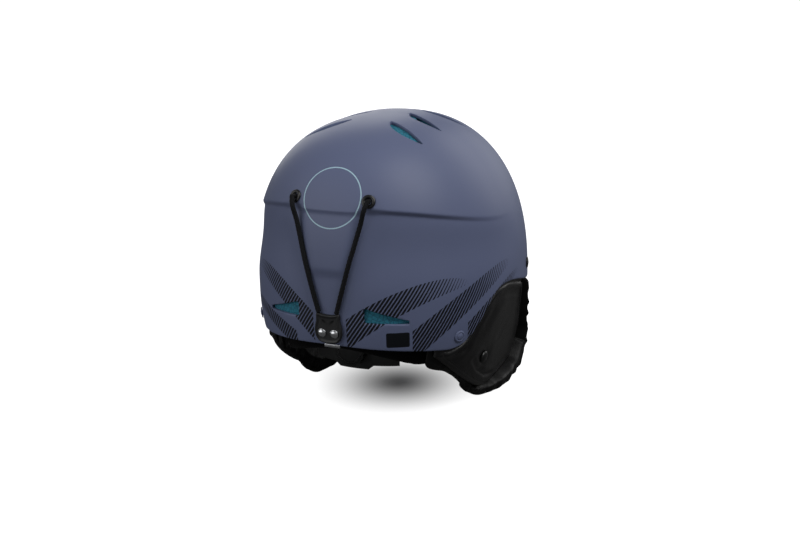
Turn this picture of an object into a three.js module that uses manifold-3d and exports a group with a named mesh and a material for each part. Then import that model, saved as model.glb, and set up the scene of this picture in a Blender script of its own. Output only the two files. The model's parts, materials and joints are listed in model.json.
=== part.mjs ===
// Paragliding helmet: hard shell over a foam liner, with ear pads, chin strap, fit dial and strap retainer.
// Millimetres, +Z up. The face looks along -Y and the wearer's right is -X.
// All pieces are built about the shell's own axis, from a datum near its rim, and set on the ground last.
import * as THREE from "three";
import { mergeVertices } from "three/addons/utils/BufferGeometryUtils.js";
import Module from "manifold-3d";

const wasm = await Module();
wasm.setup();

// Shell
const shellHalfWidth = 112;
const shellRearReach = 127.8;
const shellFrontReach = 139.5;
const crownHeight = 189;
const beltHeight = 42.2;
const shellWall = 2.4;
const planPower = 2.228;
const sidePower = 2.358;
const rearPower = 3.094;
const skirtPinchShare = 0.043;

// Shell rim, by height and by bearing from the rear
const rearRimHeight = 19.8;
const rimCornerHeight = 11.9;
const earCutHeight = 51.9;
const templeHeight = 36;
const browRimHeight = 49;
const rimCornerBearing = 45.6;
const earCutBearing = 81.2;
const templeBearing = 125;
const rimEasePower = 1.5;

// Ledge round the back, and the recess below it
const rearLedgeHeight = 130;
const sideLedgeHeight = 106;
const ledgeBand = 8;
const recessDepth = 3.5;
const ledgeDropFrom = 12;
const ledgeDropTo = 95;
const recessFadeFrom = 25;
const recessFadeTo = 100;

// Crown vents, in mirrored pairs
const ventLength = 42;
const ventWidth = 10.5;
const ventPitch = 39;
const ventInset = 36;
const rearVentPlace = 43;
const ventTurns = [27, 27, -8];
const ventChannelShare = 0.62;
const ventChannelShift = 4;

// Rear windows
const windowInnerEdge = 29;
const windowOuterTip = 62;
const windowSill = 40.6;
const windowHeight = 12.6;
const windowTipHeight = 3;
const ventChannelFirst = 1;

// Foam liner
const linerGap = 0.5;
const linerDepth = 27;
const linerLift = 3;
const touchGap = 0.3;
const pocketGap = 0.5;
const wallSlack = 1.7;

// Comfort pads on the liner's inner wall
const padDepth = 6;
const padStandOff = 1.3;
const browPadLow = 56;
const browPadTall = 26;
const browPadSpan = 62;
const sidePadLow = 66;
const sidePadTall = 44;
const sidePadFrom = 68;
const sidePadTo = 108;
const rearPadLow = 44;
const rearPadTall = 40;
const rearPadFrom = 15;
const rearPadTo = 46;
const crownPadReach = 40;
const crownPadLobe = 13;
const crownPadLobes = 4;
const padEndPower = 4;
const padEndShare = 0.6;
const padEdgeShare = 0.45;

// Ear pads
const padFootDrop = 58.9;
const padFootHalf = 86;
const padLean = 0.2115;
const padTuck = 1;
const panelDepth = 6;
const panelEdgeRound = 2.2;
const panelUnderRim = 1.6;
const panelFront = -66;
const panelRear = 86;
const panelFrontTall = 8;
const panelBrowBack = -33;
const panelBrowHeight = 39;
const panelChinHeight = -17;
const liningGap = 0.8;
const liningDepth = 13;
const liningEdgeDepth = 8;
const liningFront = -88;
const liningRear = 80;
const liningFrontTall = 18;
const liningFootFront = -70;
const liningFootRear = 16;
const liningBrowBack = -38;
const frontBendShare = 0.3;
const liningFrontRise = 2;
const liningCheekHeight = -14;
const edgePower = 6;
const liningTaperPower = 3;

// Ear snap
const earSnapPlace = 26;
const earSnapHeight = -11.9;
const earSnapRadius = 5.6;
const earSnapCap = 2.2;
const earSnapPost = 2.4;
const snapBackRadius = 2.4;

// Neck roll under the rear rim
const neckRollInset = 20;
const neckRollHalf = shellHalfWidth - neckRollInset;
const neckRollReach = shellRearReach - neckRollInset;
const neckRollDepth = 12;
const neckRollSpan = 37;
const neckRollSag = 9;
const neckRollDrop = 22;
const neckRollDropPower = 1.6;
const neckRollEndShare = 0.3;
const neckRollRound = 0.75;

// Grommets and elastic cords
const grommetHalfPitch = 32.2;
const grommetHeight = 137.5;
const grommetRadius = 5.6;
const grommetBarrel = 3.8;
const grommetBore = 2.3;
const grommetLip = 1.4;
const cordRadius = 2;
const cordRise = 2.4;
const cordLift = 3.2;
const knotRadius = 4.4;
const knotBack = 7.3;

// Retainer tab and its press studs
const tabTopHeight = 47.5;
const tabTopHalf = 9;
const tabWideHeight = 34;
const tabWideHalf = 12;
const tabBottomHeight = 22.5;
const tabThickness = 2.6;
const cordEndHalf = 8;
const cordEndHeight = 48.3;
const snapHalfPitch = 5.5;
const snapHeight = 31;
const snapCapRadius = 4;
const snapCapRise = 1.9;
const snapBarrel = 2.9;
const snapStudRadius = 2;
const snapStudRise = 1.6;
const snapRivetRadius = 1.4;
const tabTopDip = 1.5;
const snapFoot = 1.2;

// Rim clip
const clipInner = -5;
const clipOuter = 8.5;
const clipLip = 1.5;
const clipWall = 0.8;

// Strap rivets
const frontRivetBearing = 113.8;
const frontRivetHeight = 52.7;
const rearRivetBearing = 51;
const rearRivetHeight = 22.1;
const rivetRadius = 5.8;
const rivetRise = 1.7;
const rivetShank = 2.4;
const rivetPocketDepth = 4.5;

// Webbing, dividers and chin strap
const webWidth = 16;
const webThickness = 1.6;
const webSink = 7.1;
const dividerPlace = 2;
const dividerHeight = -30;
const dividerHalf = 11;
const dividerThickness = 3.2;
const strapLevel = -45.2;
const strapHalf = 56;
const strapCornerRadius = 32;
const strapFront = -130;
const crossingFrom = -12;
const crossingTo = -52;
const tongueBack = -58;
const socketMouth = -70;
const socketLength = 25;
const buckleHalf = 12;
const buckleThickness = 9;
const buckleWall = 2;
const tongueThickness = 4;
const prongWidth = 3.4;
const prongReach = 17;
const sliderLength = 9;
const sliderPlace = -102;
const chinPadHalf = 36;
const chinPadThickness = 9;
const legSink = 1.2;
const legRoom = 1.4;
const dividerShare = 0.8;
const dividerSink = 8.4;
const chinPadRise = 4;
const chinPadEndShare = 0.25;
const prongRoom = 1.2;
const buckleCorner = 3;
const guideShare = 0.7;

// Fit adjuster
const bandClearance = 6;
const bandRadius = shellHalfWidth - linerDepth - bandClearance;
const bandThickness = 1.6;
const dialHeight = 4;
const toothModule = 1.2;
const pinionTeeth = 10;
const rackHalfSpan = 18;
const rackEnd = 20.5;
const rackBack = 5.4;
const bandTallFrom = 34;
const bandEnd = 62;
const bandTallReach = 4;
const bandTaper = 7.5;
const toothBacklash = 0.5;
const addendumShare = 0.8;
const dedendumShare = 1.1;
const flankAngle = 25;
const housingSpan = 27;
const housingUnder = 1.4;
const housingOver = 5;
const housingInner = bandRadius - housingUnder;
const housingOuter = bandRadius + housingOver;
const housingHalf = 14.3;
const channelHalf = 12.2;
const channelOuter = 80.7;
const lobeSpan = 12;
const lobeEase = 2;
const lobeDrop = 3.4;
const backPlateDepth = 1.6;
const dialRadius = 13.5;
const dialDepth = 7.5;
const dialLobes = 16;
const dialLobeDepth = 0.8;
const journalRadius = 7.1;
const journalGap = 0.25;
const napePadHalf = 30;
const napePadTall = 22;
const napePadDepth = 6;
const plateScrewBearing = 21;
const plateScrewRadius = 1.9;
const screwInset = 1;
const screwLength = 5;
const napePadEndShare = 0.3;

// Band guides and the stem that carries the housing
const guideBearing = 50;
const guideWidth = 13;
const guideWall = 1.6;
const guideRise = 22;
const stemWidth = 15;
const stemThickness = 2;
const stemTop = 70;
const stemRise = 9;

// Working values for the meshes
const weld = 0.001;
const overrun = 6;
const coarseStep = 9;
const fineStep = 5.625;
const fineFrom = 45;
const fineTo = 90;
const crownRows = 6;
const skirtRows = 4;
const cavityRows = 7;
const roundSteps = 12;
const padRows = 4;
const crownPadRings = 3;
const crownPadSteps = 24;
const patchRows = 3;
const panelColumns = 15;
const liningColumns = 21;
const neckRollSteps = 16;
const neckRollPoints = 10;
const legSteps = 4;
const bisections = 30;
const cornerSteps = 6;
const chinPadSteps = 12;
const knotSteps = 6;
const cordSteps = 16;
const cordSegments = 4;
const clipSteps = 3;
const bandSteps = 5;
const housingSteps = 18;
const bentSteps = 10;
const bearingStep = 0.5;
const heightStepShare = 0.003;
const cavityRowPower = 2.3;
const bearingSearches = 6;
const sliverShare = 1e-4;

// Materials
const finish = (color, roughness, metalness = 0) =>
  new THREE.MeshStandardMaterial({ color, roughness, metalness });
const shellPaint = finish("#616a84", 0.45);
const foam = finish("#1f7f93", 0.9);
const leatherette = finish("#29292b", 0.5);
const fleece = finish("#161617", 0.95);
const padMesh = finish("#1b1c1e", 0.95);
const blackPlastic = finish("#17181a", 0.45);
const elastic = finish("#0b0c12", 0.85);
const webbing = finish("#121215", 0.85);
const chrome = finish("#c6c9cd", 0.2, 1);
const greyMetal = finish("#a8aaae", 0.35, 0.9);

const { degToRad, lerp, smoothstep, smootherstep } = THREE.MathUtils;
const vec = (x, y, z) => new THREE.Vector3(x, y, z);
const sides = { left: 1, right: -1 };

// A closed mesh from points and faces, turned so that its faces point out
function meshOf(points, faces) {
  const cross = new THREE.Vector3();
  let volume = 0;
  for (const [a, b, c] of faces) volume += points[a].dot(cross.crossVectors(points[b], points[c]));
  const turned = volume < 0 ? faces.map(([a, b, c]) => [a, c, b]) : faces;
  const geometry = new THREE.BufferGeometry().setFromPoints(points);
  geometry.setIndex(turned.flat());
  geometry.computeVertexNormals();
  return geometry;
}

// Triangles over a flat outline, wound as the outline is, or none where points stand in line with each other
function capFaces(outline) {
  const normal = new THREE.Vector3();
  outline.forEach((p, i) => normal.add(p.clone().cross(outline[(i + 1) % outline.length])));
  normal.normalize();
  const across = outline[1].clone().sub(outline[0]).cross(normal).normalize();
  const along = normal.clone().cross(across);
  const flat = outline.map((p) => new THREE.Vector2(p.dot(across), p.dot(along)));
  const whole = THREE.ShapeUtils.area(flat);
  const areaOf = (face) => THREE.ShapeUtils.area(face.map((i) => flat[i])) / whole;
  const faces = THREE.ShapeUtils.triangulateShape(flat, []);
  if (faces.some((face) => Math.abs(areaOf(face)) < sliverShare)) return [];
  return faces.map((face) => (areaOf(face) > 0 ? face : [face[0], face[2], face[1]]));
}

// Closes the end of a loft, by a fan about its middle where points stand in line
function closeEnd(points, faces, start, count, flip) {
  const outline = points.slice(start, start + count);
  const put = (a, b, c) => faces.push(flip ? [a, c, b] : [a, b, c]);
  const triangles = capFaces(outline);
  if (triangles.length === count - 2) {
    for (const [a, b, c] of triangles) put(start + a, start + b, start + c);
    return;
  }
  const middle = outline.reduce((sum, p) => sum.add(p), new THREE.Vector3()).divideScalar(count);
  const centre = points.push(middle) - 1;
  for (let j = 0; j < count; j++) put(centre, start + j, start + ((j + 1) % count));
}

// A closed body through a row of sections with the same number of points
function loft(sections) {
  const count = sections[0].length;
  const points = sections.flat();
  const faces = [];
  for (let i = 0; i + 1 < sections.length; i++) {
    for (let j = 0; j < count; j++) {
      const a = i * count + j;
      const b = i * count + ((j + 1) % count);
      faces.push([a, b, b + count], [a, b + count, a + count]);
    }
  }
  closeEnd(points, faces, 0, count, true);
  closeEnd(points, faces, (sections.length - 1) * count, count, false);
  return meshOf(points, faces);
}

// A cap with a wall: both skins start at a pole and their last rows are joined
function wallBetween(outer, inner) {
  const columns = outer[1].length;
  const points = [];
  const faces = [];
  const addSkin = (rows, flip) => {
    const pole = points.push(rows[0][0]) - 1;
    const first = points.length;
    rows.slice(1).forEach((row) => points.push(...row));
    const put = (a, b, c) => faces.push(flip ? [a, c, b] : [a, b, c]);
    for (let j = 0; j < columns; j++) {
      const next = (j + 1) % columns;
      put(pole, first + j, first + next);
      for (let i = 0; i + 2 < rows.length; i++) {
        const upper = first + i * columns;
        const lower = upper + columns;
        put(upper + j, lower + j, lower + next);
        put(upper + j, lower + next, upper + next);
      }
    }
    return points.length - columns;
  };
  const outerEdge = addSkin(outer, false);
  const innerEdge = addSkin(inner, true);
  for (let j = 0; j < columns; j++) {
    const next = (j + 1) % columns;
    faces.push([outerEdge + j, innerEdge + j, innerEdge + next]);
    faces.push([outerEdge + j, innerEdge + next, outerEdge + next]);
  }
  return meshOf(points, faces);
}

function solidOf(geometry) {
  const bare = new THREE.BufferGeometry();
  const source = geometry.index ? geometry.toNonIndexed() : geometry;
  bare.setAttribute("position", source.getAttribute("position").clone());
  const merged = mergeVertices(bare, weld);
  const vertProperties = new Float32Array(merged.attributes.position.array);
  const triVerts = new Uint32Array(merged.index.array);
  return new wasm.Manifold(new wasm.Mesh({ numProp: 3, vertProperties, triVerts }));
}

function geometryOf(solid) {
  const mesh = solid.getMesh();
  const geometry = new THREE.BufferGeometry();
  geometry.setAttribute("position", new THREE.BufferAttribute(mesh.vertProperties, 3));
  geometry.setIndex(new THREE.BufferAttribute(mesh.triVerts, 1));
  geometry.computeVertexNormals();
  return geometry;
}

function cut(geometry, ...tools) {
  let solid = solidOf(geometry);
  for (const tool of tools) solid = solid.subtract(solidOf(tool));
  return geometryOf(solid);
}

function join(geometry, ...others) {
  let solid = solidOf(geometry);
  for (const other of others) solid = solid.add(solidOf(other));
  return geometryOf(solid);
}

const placed = (geometry, matrix) => geometry.clone().applyMatrix4(matrix);

// The matrix that stands a turned piece, built up +Z, on a point along a direction
function standOn(point, direction) {
  const turn = new THREE.Quaternion().setFromUnitVectors(vec(0, 0, 1), direction.clone().normalize());
  return new THREE.Matrix4().compose(point, turn, new THREE.Vector3(1, 1, 1));
}

// A turned piece up +Z from its profile of radius and height
function turned(profile, steps = roundSteps) {
  const outline = profile.map(([radius, height]) => new THREE.Vector2(radius, height));
  return new THREE.LatheGeometry(outline, steps).rotateX(Math.PI / 2);
}

const disc = (radius, low, high, steps) =>
  turned([[0, low], [radius, low], [radius, high], [0, high]], steps);

// A flat plate: an outline in two axes, with its thickness along the third
function plate(shape, depth, curveSegments = 8) {
  return new THREE.ExtrudeGeometry(shape, { depth, bevelEnabled: false, curveSegments });
}

function box(low, high) {
  const size = high.clone().sub(low);
  const middle = high.clone().add(low).divideScalar(2);
  return new THREE.BoxGeometry(size.x, size.y, size.z).translate(middle.x, middle.y, middle.z);
}

// Shell form

const shellForm = { half: shellHalfWidth, rear: shellRearReach, front: shellFrontReach, top: crownHeight };
const within = (form, depth) => ({
  half: form.half - depth,
  rear: form.rear - depth,
  front: form.front - depth,
  top: form.top - depth,
});
const shellInside = within(shellForm, shellWall);
const linerOutside = within(shellForm, shellWall + linerGap);
const linerInside = within(shellForm, linerDepth);
const halfTurn = 180;

const turnOf = (bearing) => Math.abs(bearing > halfTurn ? bearing - 2 * halfTurn : bearing);

function rimHeight(bearing) {
  const turn = turnOf(bearing);
  if (turn < rimCornerBearing) {
    return lerp(rearRimHeight, rimCornerHeight, (turn / rimCornerBearing) ** rimEasePower);
  }
  if (turn < earCutBearing) {
    return lerp(rimCornerHeight, earCutHeight, smootherstep(turn, rimCornerBearing, earCutBearing));
  }
  if (turn < templeBearing) {
    return lerp(earCutHeight, templeHeight, smoothstep(turn, earCutBearing, templeBearing));
  }
  return lerp(templeHeight, browRimHeight, smoothstep(turn, templeBearing, halfTurn));
}

const ledgeHeight = (bearing) =>
  lerp(rearLedgeHeight, sideLedgeHeight, smoothstep(turnOf(bearing), ledgeDropFrom, ledgeDropTo));

function recessAt(bearing, height) {
  const round = 1 - smoothstep(turnOf(bearing), recessFadeFrom, recessFadeTo);
  const ledge = ledgeHeight(bearing);
  return recessDepth * round * (1 - smoothstep(height, ledge - ledgeBand / 2, ledge + ledgeBand / 2));
}

const powerAt = (bearing) =>
  lerp(sidePower, rearPower, Math.max(Math.cos(degToRad(bearing)), 0) ** 2);

function planRadius(form, bearing) {
  const across = Math.abs(Math.sin(degToRad(bearing))) / form.half;
  const reach = Math.cos(degToRad(bearing)) > 0 ? form.rear : form.front;
  const along = Math.abs(Math.cos(degToRad(bearing))) / reach;
  return (across ** planPower + along ** planPower) ** (-1 / planPower);
}

function flankShare(form, bearing, height) {
  if (height < beltHeight) return 1 - skirtPinchShare * ((beltHeight - height) / beltHeight) ** 2;
  const rise = Math.min((height - beltHeight) / (form.top - beltHeight), 1);
  const power = powerAt(bearing);
  return (1 - rise ** power) ** (1 / power);
}

const aimed = (bearing, radius, height) =>
  vec(-Math.sin(degToRad(bearing)) * radius, Math.cos(degToRad(bearing)) * radius, height);

function formPoint(form, bearing, height, recessed = true) {
  const sunk = recessed ? recessAt(bearing, height) : 0;
  return aimed(bearing, planRadius(form, bearing) * flankShare(form, bearing, height) - sunk, height);
}

function formNormal(form, bearing, height, recessed = true) {
  const step = heightStepShare * form.top;
  const at = (b, h) => formPoint(form, b, h, recessed);
  const round = at(bearing + bearingStep, height).sub(at(bearing - bearingStep, height));
  const up = at(bearing, height + step).sub(at(bearing, height - step));
  return round.cross(up).normalize();
}

// Bearings of the columns, closer together along the steep side of the ear cut
function columnBearings() {
  const half = [];
  for (let bearing = 0; bearing < halfTurn; ) {
    half.push(bearing);
    bearing += bearing >= fineFrom && bearing < fineTo ? fineStep : coarseStep;
  }
  const mirrored = half.slice(1).map((bearing) => -bearing).reverse();
  return [...half, halfTurn, ...mirrored];
}

// Rows of a skin that follows the shell, ledge included, down to its rim
function shellRows(form, lift = 0) {
  const columns = columnBearings();
  const rows = [[vec(0, 0, form.top)]];
  const column = (bearing) => {
    const heights = [];
    const ledge = ledgeHeight(bearing);
    const ledgeTop = ledge + ledgeBand / 2;
    const ledgeFoot = ledge - ledgeBand / 2;
    const power = powerAt(bearing);
    const rise = (ledgeTop - beltHeight) / (form.top - beltHeight);
    const low = Math.asin(rise ** (power / 2));
    for (let i = 1; i <= crownRows; i++) {
      const tilt = lerp(Math.PI / 2, low, i / crownRows);
      heights.push(beltHeight + (form.top - beltHeight) * Math.sin(tilt) ** (2 / power));
    }
    heights.push(ledge);
    for (let i = 0; i <= skirtRows; i++) {
      heights.push(lerp(ledgeFoot, rimHeight(bearing) + lift, i / skirtRows));
    }
    return heights.map((height) => formPoint(form, bearing, height));
  };
  const drawn = columns.map(column);
  drawn[0].forEach((_, i) => rows.push(drawn.map((points) => points[i])));
  return rows;
}

// Rows of the plain head cavity
function cavitySkin(form, lift) {
  const columns = columnBearings();
  const rows = [[vec(0, 0, form.top)]];
  for (let i = 1; i <= cavityRows; i++) {
    const share = (i / cavityRows) ** cavityRowPower;
    rows.push(
      columns.map((bearing) => {
        const height = lerp(form.top, rimHeight(bearing) + lift, share);
        return formPoint(form, bearing, height, false);
      }),
    );
  }
  return rows;
}

// Height-true place on the shell's outside for a given half breadth
function shellFace(across, height) {
  let bearing = 0;
  for (let i = 0; i < bearingSearches; i++) {
    const radius = formPoint(shellForm, bearing, height).setZ(0).length();
    bearing = -THREE.MathUtils.radToDeg(Math.asin(across / radius));
  }
  return bearing;
}

// Vents and windows

function ventShape(share = 1) {
  const half = (ventLength / 2) * share;
  const shape = new THREE.Shape();
  shape.moveTo(-half, 0);
  shape.quadraticCurveTo(-half / 2, ventWidth * share * 1.25, half / 4, ventWidth * share);
  shape.quadraticCurveTo(half * 0.7, ventWidth * share * 0.75, half, 0);
  shape.closePath();
  return shape;
}

// Upright cutters for the vents, for the left side when side is 1
function ventTools(share, shift, first = 0) {
  const tools = [];
  for (const side of Object.values(sides)) {
    ventTurns.forEach((turn, i) => {
      if (i < first) return;
      const tool = plate(ventShape(share), crownHeight).rotateZ(degToRad(turn));
      tool.translate(ventInset, rearVentPlace - i * ventPitch - shift, crownHeight / 2);
      if (side < 0) mirrorAcross(tool);
      tools.push(tool);
    });
  }
  return tools;
}

// Mirrors a geometry from left to right and turns its faces back
function mirrorAcross(geometry) {
  geometry.scale(-1, 1, 1);
  if (!geometry.index) {
    const order = Array.from({ length: geometry.attributes.position.count }, (_, i) => i);
    geometry.setIndex(order);
  }
  const index = geometry.index.array;
  for (let i = 0; i < index.length; i += 3) [index[i + 1], index[i + 2]] = [index[i + 2], index[i + 1]];
  geometry.computeVertexNormals();
  return geometry;
}

function windowTools() {
  const middle = (windowInnerEdge + windowOuterTip) / 2;
  const half = (windowOuterTip - windowInnerEdge) / 2;
  const shape = new THREE.Shape();
  shape.moveTo(middle - half, windowSill);
  shape.lineTo(middle + half, windowSill - windowTipHeight / 2);
  shape.lineTo(middle + half, windowSill + windowTipHeight / 2);
  shape.lineTo(middle - half, windowSill + windowHeight);
  shape.closePath();
  const left = plate(shape, shellRearReach / 2 + overrun).rotateX(Math.PI / 2);
  left.translate(0, shellRearReach + overrun, 0);
  return [left, mirrorAcross(left.clone())];
}

// Seats of the small parts on the shell

function shellSeat(side, turn, height) {
  const bearing = -side * turn;
  const point = formPoint(shellForm, bearing, height);
  return { point, normal: formNormal(shellForm, bearing, height) };
}

const frontRivetSeat = (side) => shellSeat(side, frontRivetBearing, frontRivetHeight);
const rearRivetSeat = (side) => shellSeat(side, rearRivetBearing, rearRivetHeight);
const grommetSeat = (side) => {
  const bearing = shellFace(side * grommetHalfPitch, grommetHeight);
  const point = formPoint(shellForm, bearing, grommetHeight);
  return { point, normal: formNormal(shellForm, bearing, grommetHeight) };
};
const tabFace = () => formPoint(shellForm, 0, beltHeight).y + touchGap;
const snapSeat = (side) => {
  return { point: vec(side * snapHalfPitch, tabFace(), snapHeight), normal: vec(0, 1, 0) };
};
const onSeat = ({ point, normal }) => standOn(point, normal);

const shellHoles = () =>
  Object.values(sides).flatMap((side) => [
    placed(disc(rivetShank + touchGap, -overrun, overrun, 12), onSeat(frontRivetSeat(side))),
    placed(disc(rivetShank + touchGap, -overrun, overrun, 12), onSeat(rearRivetSeat(side))),
    placed(disc(grommetBarrel + touchGap, -overrun, overrun, 12), onSeat(grommetSeat(side))),
    placed(disc(snapRivetRadius + touchGap, -overrun - shellWall, overrun, 12), onSeat(snapSeat(side))),
  ]);

function shell() {
  const wall = wallBetween(shellRows(shellForm), shellRows(shellInside));
  return cut(wall, ...ventTools(1, 0), ...windowTools(), ...shellHoles());
}

function liner() {
  const body = wallBetween(shellRows(linerOutside, linerLift), cavitySkin(linerInside, linerLift));
  const knotPocket = (side) => {
    const { point, normal } = grommetSeat(side);
    const centre = point.clone().addScaledVector(normal, -shellWall - knotBack);
    return disc(grommetRadius + pocketGap, -knotRadius - pocketGap, knotBack + overrun).applyMatrix4(
      standOn(centre, normal),
    );
  };
  const rivetPocket = (seat) =>
    placed(disc(rivetRadius + pocketGap, -shellWall - rivetPocketDepth, 0), onSeat(seat));
  const snapPocket = (side) =>
    placed(disc(snapStudRadius + pocketGap * 2, -shellWall - rivetPocketDepth, 0), onSeat(snapSeat(side)));
  const tools = Object.values(sides).flatMap((side) => [
    knotPocket(side),
    rivetPocket(frontRivetSeat(side)),
    rivetPocket(rearRivetSeat(side)),
    snapPocket(side),
    frontLeg(side, legRoom),
    rearLeg(side, legRoom),
  ]);
  const channels = ventTools(ventChannelShare, ventChannelShift, ventChannelFirst);
  return cut(body, ...channels, ...tools);
}

// Comfort pads

// A pad on the cavity wall between two bearings, its edges drawn in
function wallPad(fromBearing, toBearing, lowHeight, tall) {
  const columns = Math.max(4, Math.round(Math.abs(toBearing - fromBearing) / coarseStep));
  const sections = [];
  for (let i = 0; i <= columns; i++) {
    const share = i / columns;
    const ends = 1 - Math.abs(2 * share - 1) ** padEndPower;
    const bearing = lerp(fromBearing, toBearing, share);
    const half = (tall / 2) * (padEndShare + (1 - padEndShare) * ends);
    const middle = lowHeight + tall / 2;
    const loop = [];
    for (let j = 0; j <= padRows; j++) {
      const height = middle - half + (2 * half * j) / padRows;
      loop.push(formPoint(within(linerInside, padStandOff), bearing, height, false));
    }
    for (let j = padRows; j >= 0; j--) {
      const height = middle - half + (2 * half * j) / padRows;
      const crown = (1 - Math.abs((2 * j) / padRows - 1) ** 2) * ends;
      const depth = padStandOff + padDepth * (padEdgeShare + (1 - padEdgeShare) * crown);
      loop.push(formPoint(within(linerInside, depth), bearing, height, false));
    }
    sections.push(loop);
  }
  return loft(sections);
}

// The crown pad: a lobed cushion under the top of the cavity
function crownPad() {
  const outline = (angle) => crownPadReach + crownPadLobe * Math.cos(crownPadLobes * angle);
  const skin = (depthAt) => {
    const rows = [[vec(0, 0, linerInside.top - depthAt(0))]];
    for (let i = 1; i <= crownPadRings; i++) {
      const share = i / crownPadRings;
      const ring = [];
      for (let j = 0; j < crownPadSteps; j++) {
        const angle = (j / crownPadSteps) * 2 * Math.PI;
        const reach = outline(angle) * share;
        const bearing = THREE.MathUtils.radToDeg(angle);
        ring.push(aimed(bearing, reach, crownLevel(within(linerInside, depthAt(share)), bearing, reach)));
      }
      rows.push(ring);
    }
    return rows;
  };
  const upper = skin(() => padStandOff);
  const lower = skin((share) => padStandOff + padDepth * (1 - (1 - padEdgeShare) * share ** 3));
  return wallBetween(upper, lower);
}

// The level of a form straight above or below a point
function crownLevel(form, bearing, reach) {
  const share = Math.min(reach / planRadius(form, bearing), 1);
  const power = powerAt(bearing);
  return beltHeight + (form.top - beltHeight) * (1 - share ** power) ** (1 / power);
}

// Ear pads, drawn for the left side and mirrored

const sideBend = (place) => {
  const reach = place > 0 ? shellRearReach : shellFrontReach;
  const bend = (1 - (Math.abs(place) / reach) ** planPower) ** (1 / planPower);
  return place > 0 ? bend : lerp(1, bend, frontBendShare);
};
const padFace = (place, height) =>
  (padFootHalf + padLean * (height + padFootDrop)) * sideBend(place) - padTuck;
const padPoint = (place, height, depth) => vec(padFace(place, height) - depth, place, height);

function padNormal(place, height) {
  const along = padPoint(place + touchGap, height, 0).sub(padPoint(place - touchGap, height, 0));
  const up = padPoint(place, height + touchGap, 0).sub(padPoint(place, height - touchGap, 0));
  return along.cross(up).normalize();
}

// The rim above a place on the ear pad, at a depth behind its face
function rimAbove(place, depth) {
  let height = earCutHeight;
  for (let i = 0; i < bearingSearches; i++) {
    const bearing = THREE.MathUtils.radToDeg(Math.atan2(padFace(place, height) - depth, place));
    height = rimHeight(bearing);
  }
  return height;
}

// Height of a polyline given as places and heights
function along(outline, place) {
  const last = outline.length - 1;
  if (place <= outline[0][0]) return outline[0][1];
  if (place >= outline[last][0]) return outline[last][1];
  const i = outline.findIndex(([at]) => at > place) - 1;
  const [from, low] = outline[i];
  const [to, high] = outline[i + 1];
  return lerp(low, high, (place - from) / (to - from));
}

// Lower edge of the panel, as shares of its length behind and before the ear and of the foot's drop
const panelFootShares = [
  [-1, -0.45],
  [-0.77, -0.68],
  [-0.27, -0.72],
  [0.2, -0.74],
  [0.42, -0.56],
  [0.65, -0.33],
  [0.86, -0.08],
  [1, 0.1],
];
const liningFootShares = [
  [0.27, -0.86],
  [0.36, -0.7],
  [0.46, -0.55],
  [0.64, -0.36],
  [0.82, -0.18],
  [1, -0.08],
];

function panelFoot(place) {
  const outline = panelFootShares.map(([share, drop]) => [
    share < 0 ? -share * panelFront : share * panelRear,
    drop * padFootDrop,
  ]);
  return along(outline, place);
}

function panelTop(place, depth) {
  const brow = along(
    [
      [panelFront, panelChinHeight],
      [panelBrowBack, panelBrowHeight],
    ],
    place,
  );
  const rim = rimAbove(place, depth) + panelUnderRim;
  return Math.max(place < panelBrowBack ? Math.min(brow, rim) : rim, panelFoot(place) + panelFrontTall);
}

function liningFoot(place) {
  const outline = [
    [liningFront, liningFrontRise - padFootDrop],
    [liningFootFront, -padFootDrop],
    [liningFootRear, -padFootDrop],
    ...liningFootShares.map(([share, drop]) => [share * liningRear, drop * padFootDrop]),
  ];
  return along(outline, place);
}

function liningTop(place, depth) {
  const brow = along(
    [
      [liningFront, liningFrontTall - padFootDrop],
      [liningFront + liningFrontTall, liningCheekHeight],
      [liningBrowBack, panelBrowHeight],
    ],
    place,
  );
  const rim = rimAbove(place, depth) + panelUnderRim;
  return Math.max(place < liningBrowBack ? Math.min(brow, rim) : rim, liningFoot(place) + panelFrontTall);
}

// A padded patch between a lower and an upper edge, from front to rear
function patch(front, rear, columns, foot, top, outerDepth, innerDepth) {
  const sections = [];
  for (let i = 0; i <= columns; i++) {
    const place = lerp(front, rear, i / columns);
    const skin = (depthAt) =>
      Array.from({ length: patchRows + 1 }, (_, j) => {
        const depth = depthAt(i / columns, j / patchRows);
        return padPoint(place, lerp(foot(place), top(place, depth), j / patchRows), depth);
      });
    sections.push([...skin(outerDepth), ...skin(innerDepth).reverse()]);
  }
  return loft(sections);
}
const edgeCurve = (share) => Math.abs(2 * share - 1) ** edgePower;

function panelBlank() {
  const outer = (u, v) => panelEdgeRound * Math.max(edgeCurve(u), edgeCurve(v));
  return patch(panelFront, panelRear, panelColumns, panelFoot, panelTop, outer, () => panelDepth);
}

function earSnapSeat() {
  const point = padPoint(earSnapPlace, earSnapHeight, 0);
  return { point, normal: padNormal(earSnapPlace, earSnapHeight) };
}

function earPanel() {
  const hole = disc(earSnapPost / 2 + touchGap, -panelDepth - overrun, overrun, 12);
  const legs = [frontLeg(1, pocketGap), rearLeg(1, pocketGap)];
  return cut(panelBlank(), placed(hole, onSeat(earSnapSeat())), ...legs);
}

function liningBlank() {
  const back = panelDepth + liningGap;
  const inner = (u, v) => {
    const crown = 1 - Math.max(edgeCurve(u), edgeCurve(v));
    return back + lerp(liningEdgeDepth, liningDepth, crown * (1 - u ** liningTaperPower));
  };
  return patch(liningFront, liningRear, liningColumns, liningFoot, liningTop, () => back, inner);
}

function earLining() {
  const snapRoom = disc(earSnapPost / 2 + pocketGap + snapBackRadius, -overrun - panelDepth, overrun, 12);
  return cut(
    liningBlank(),
    frontLeg(1, pocketGap),
    rearLeg(1, pocketGap),
    divider(pocketGap),
    crossingStrap(pocketGap),
    placed(snapRoom, onSeat(earSnapSeat())),
  );
}

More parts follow.
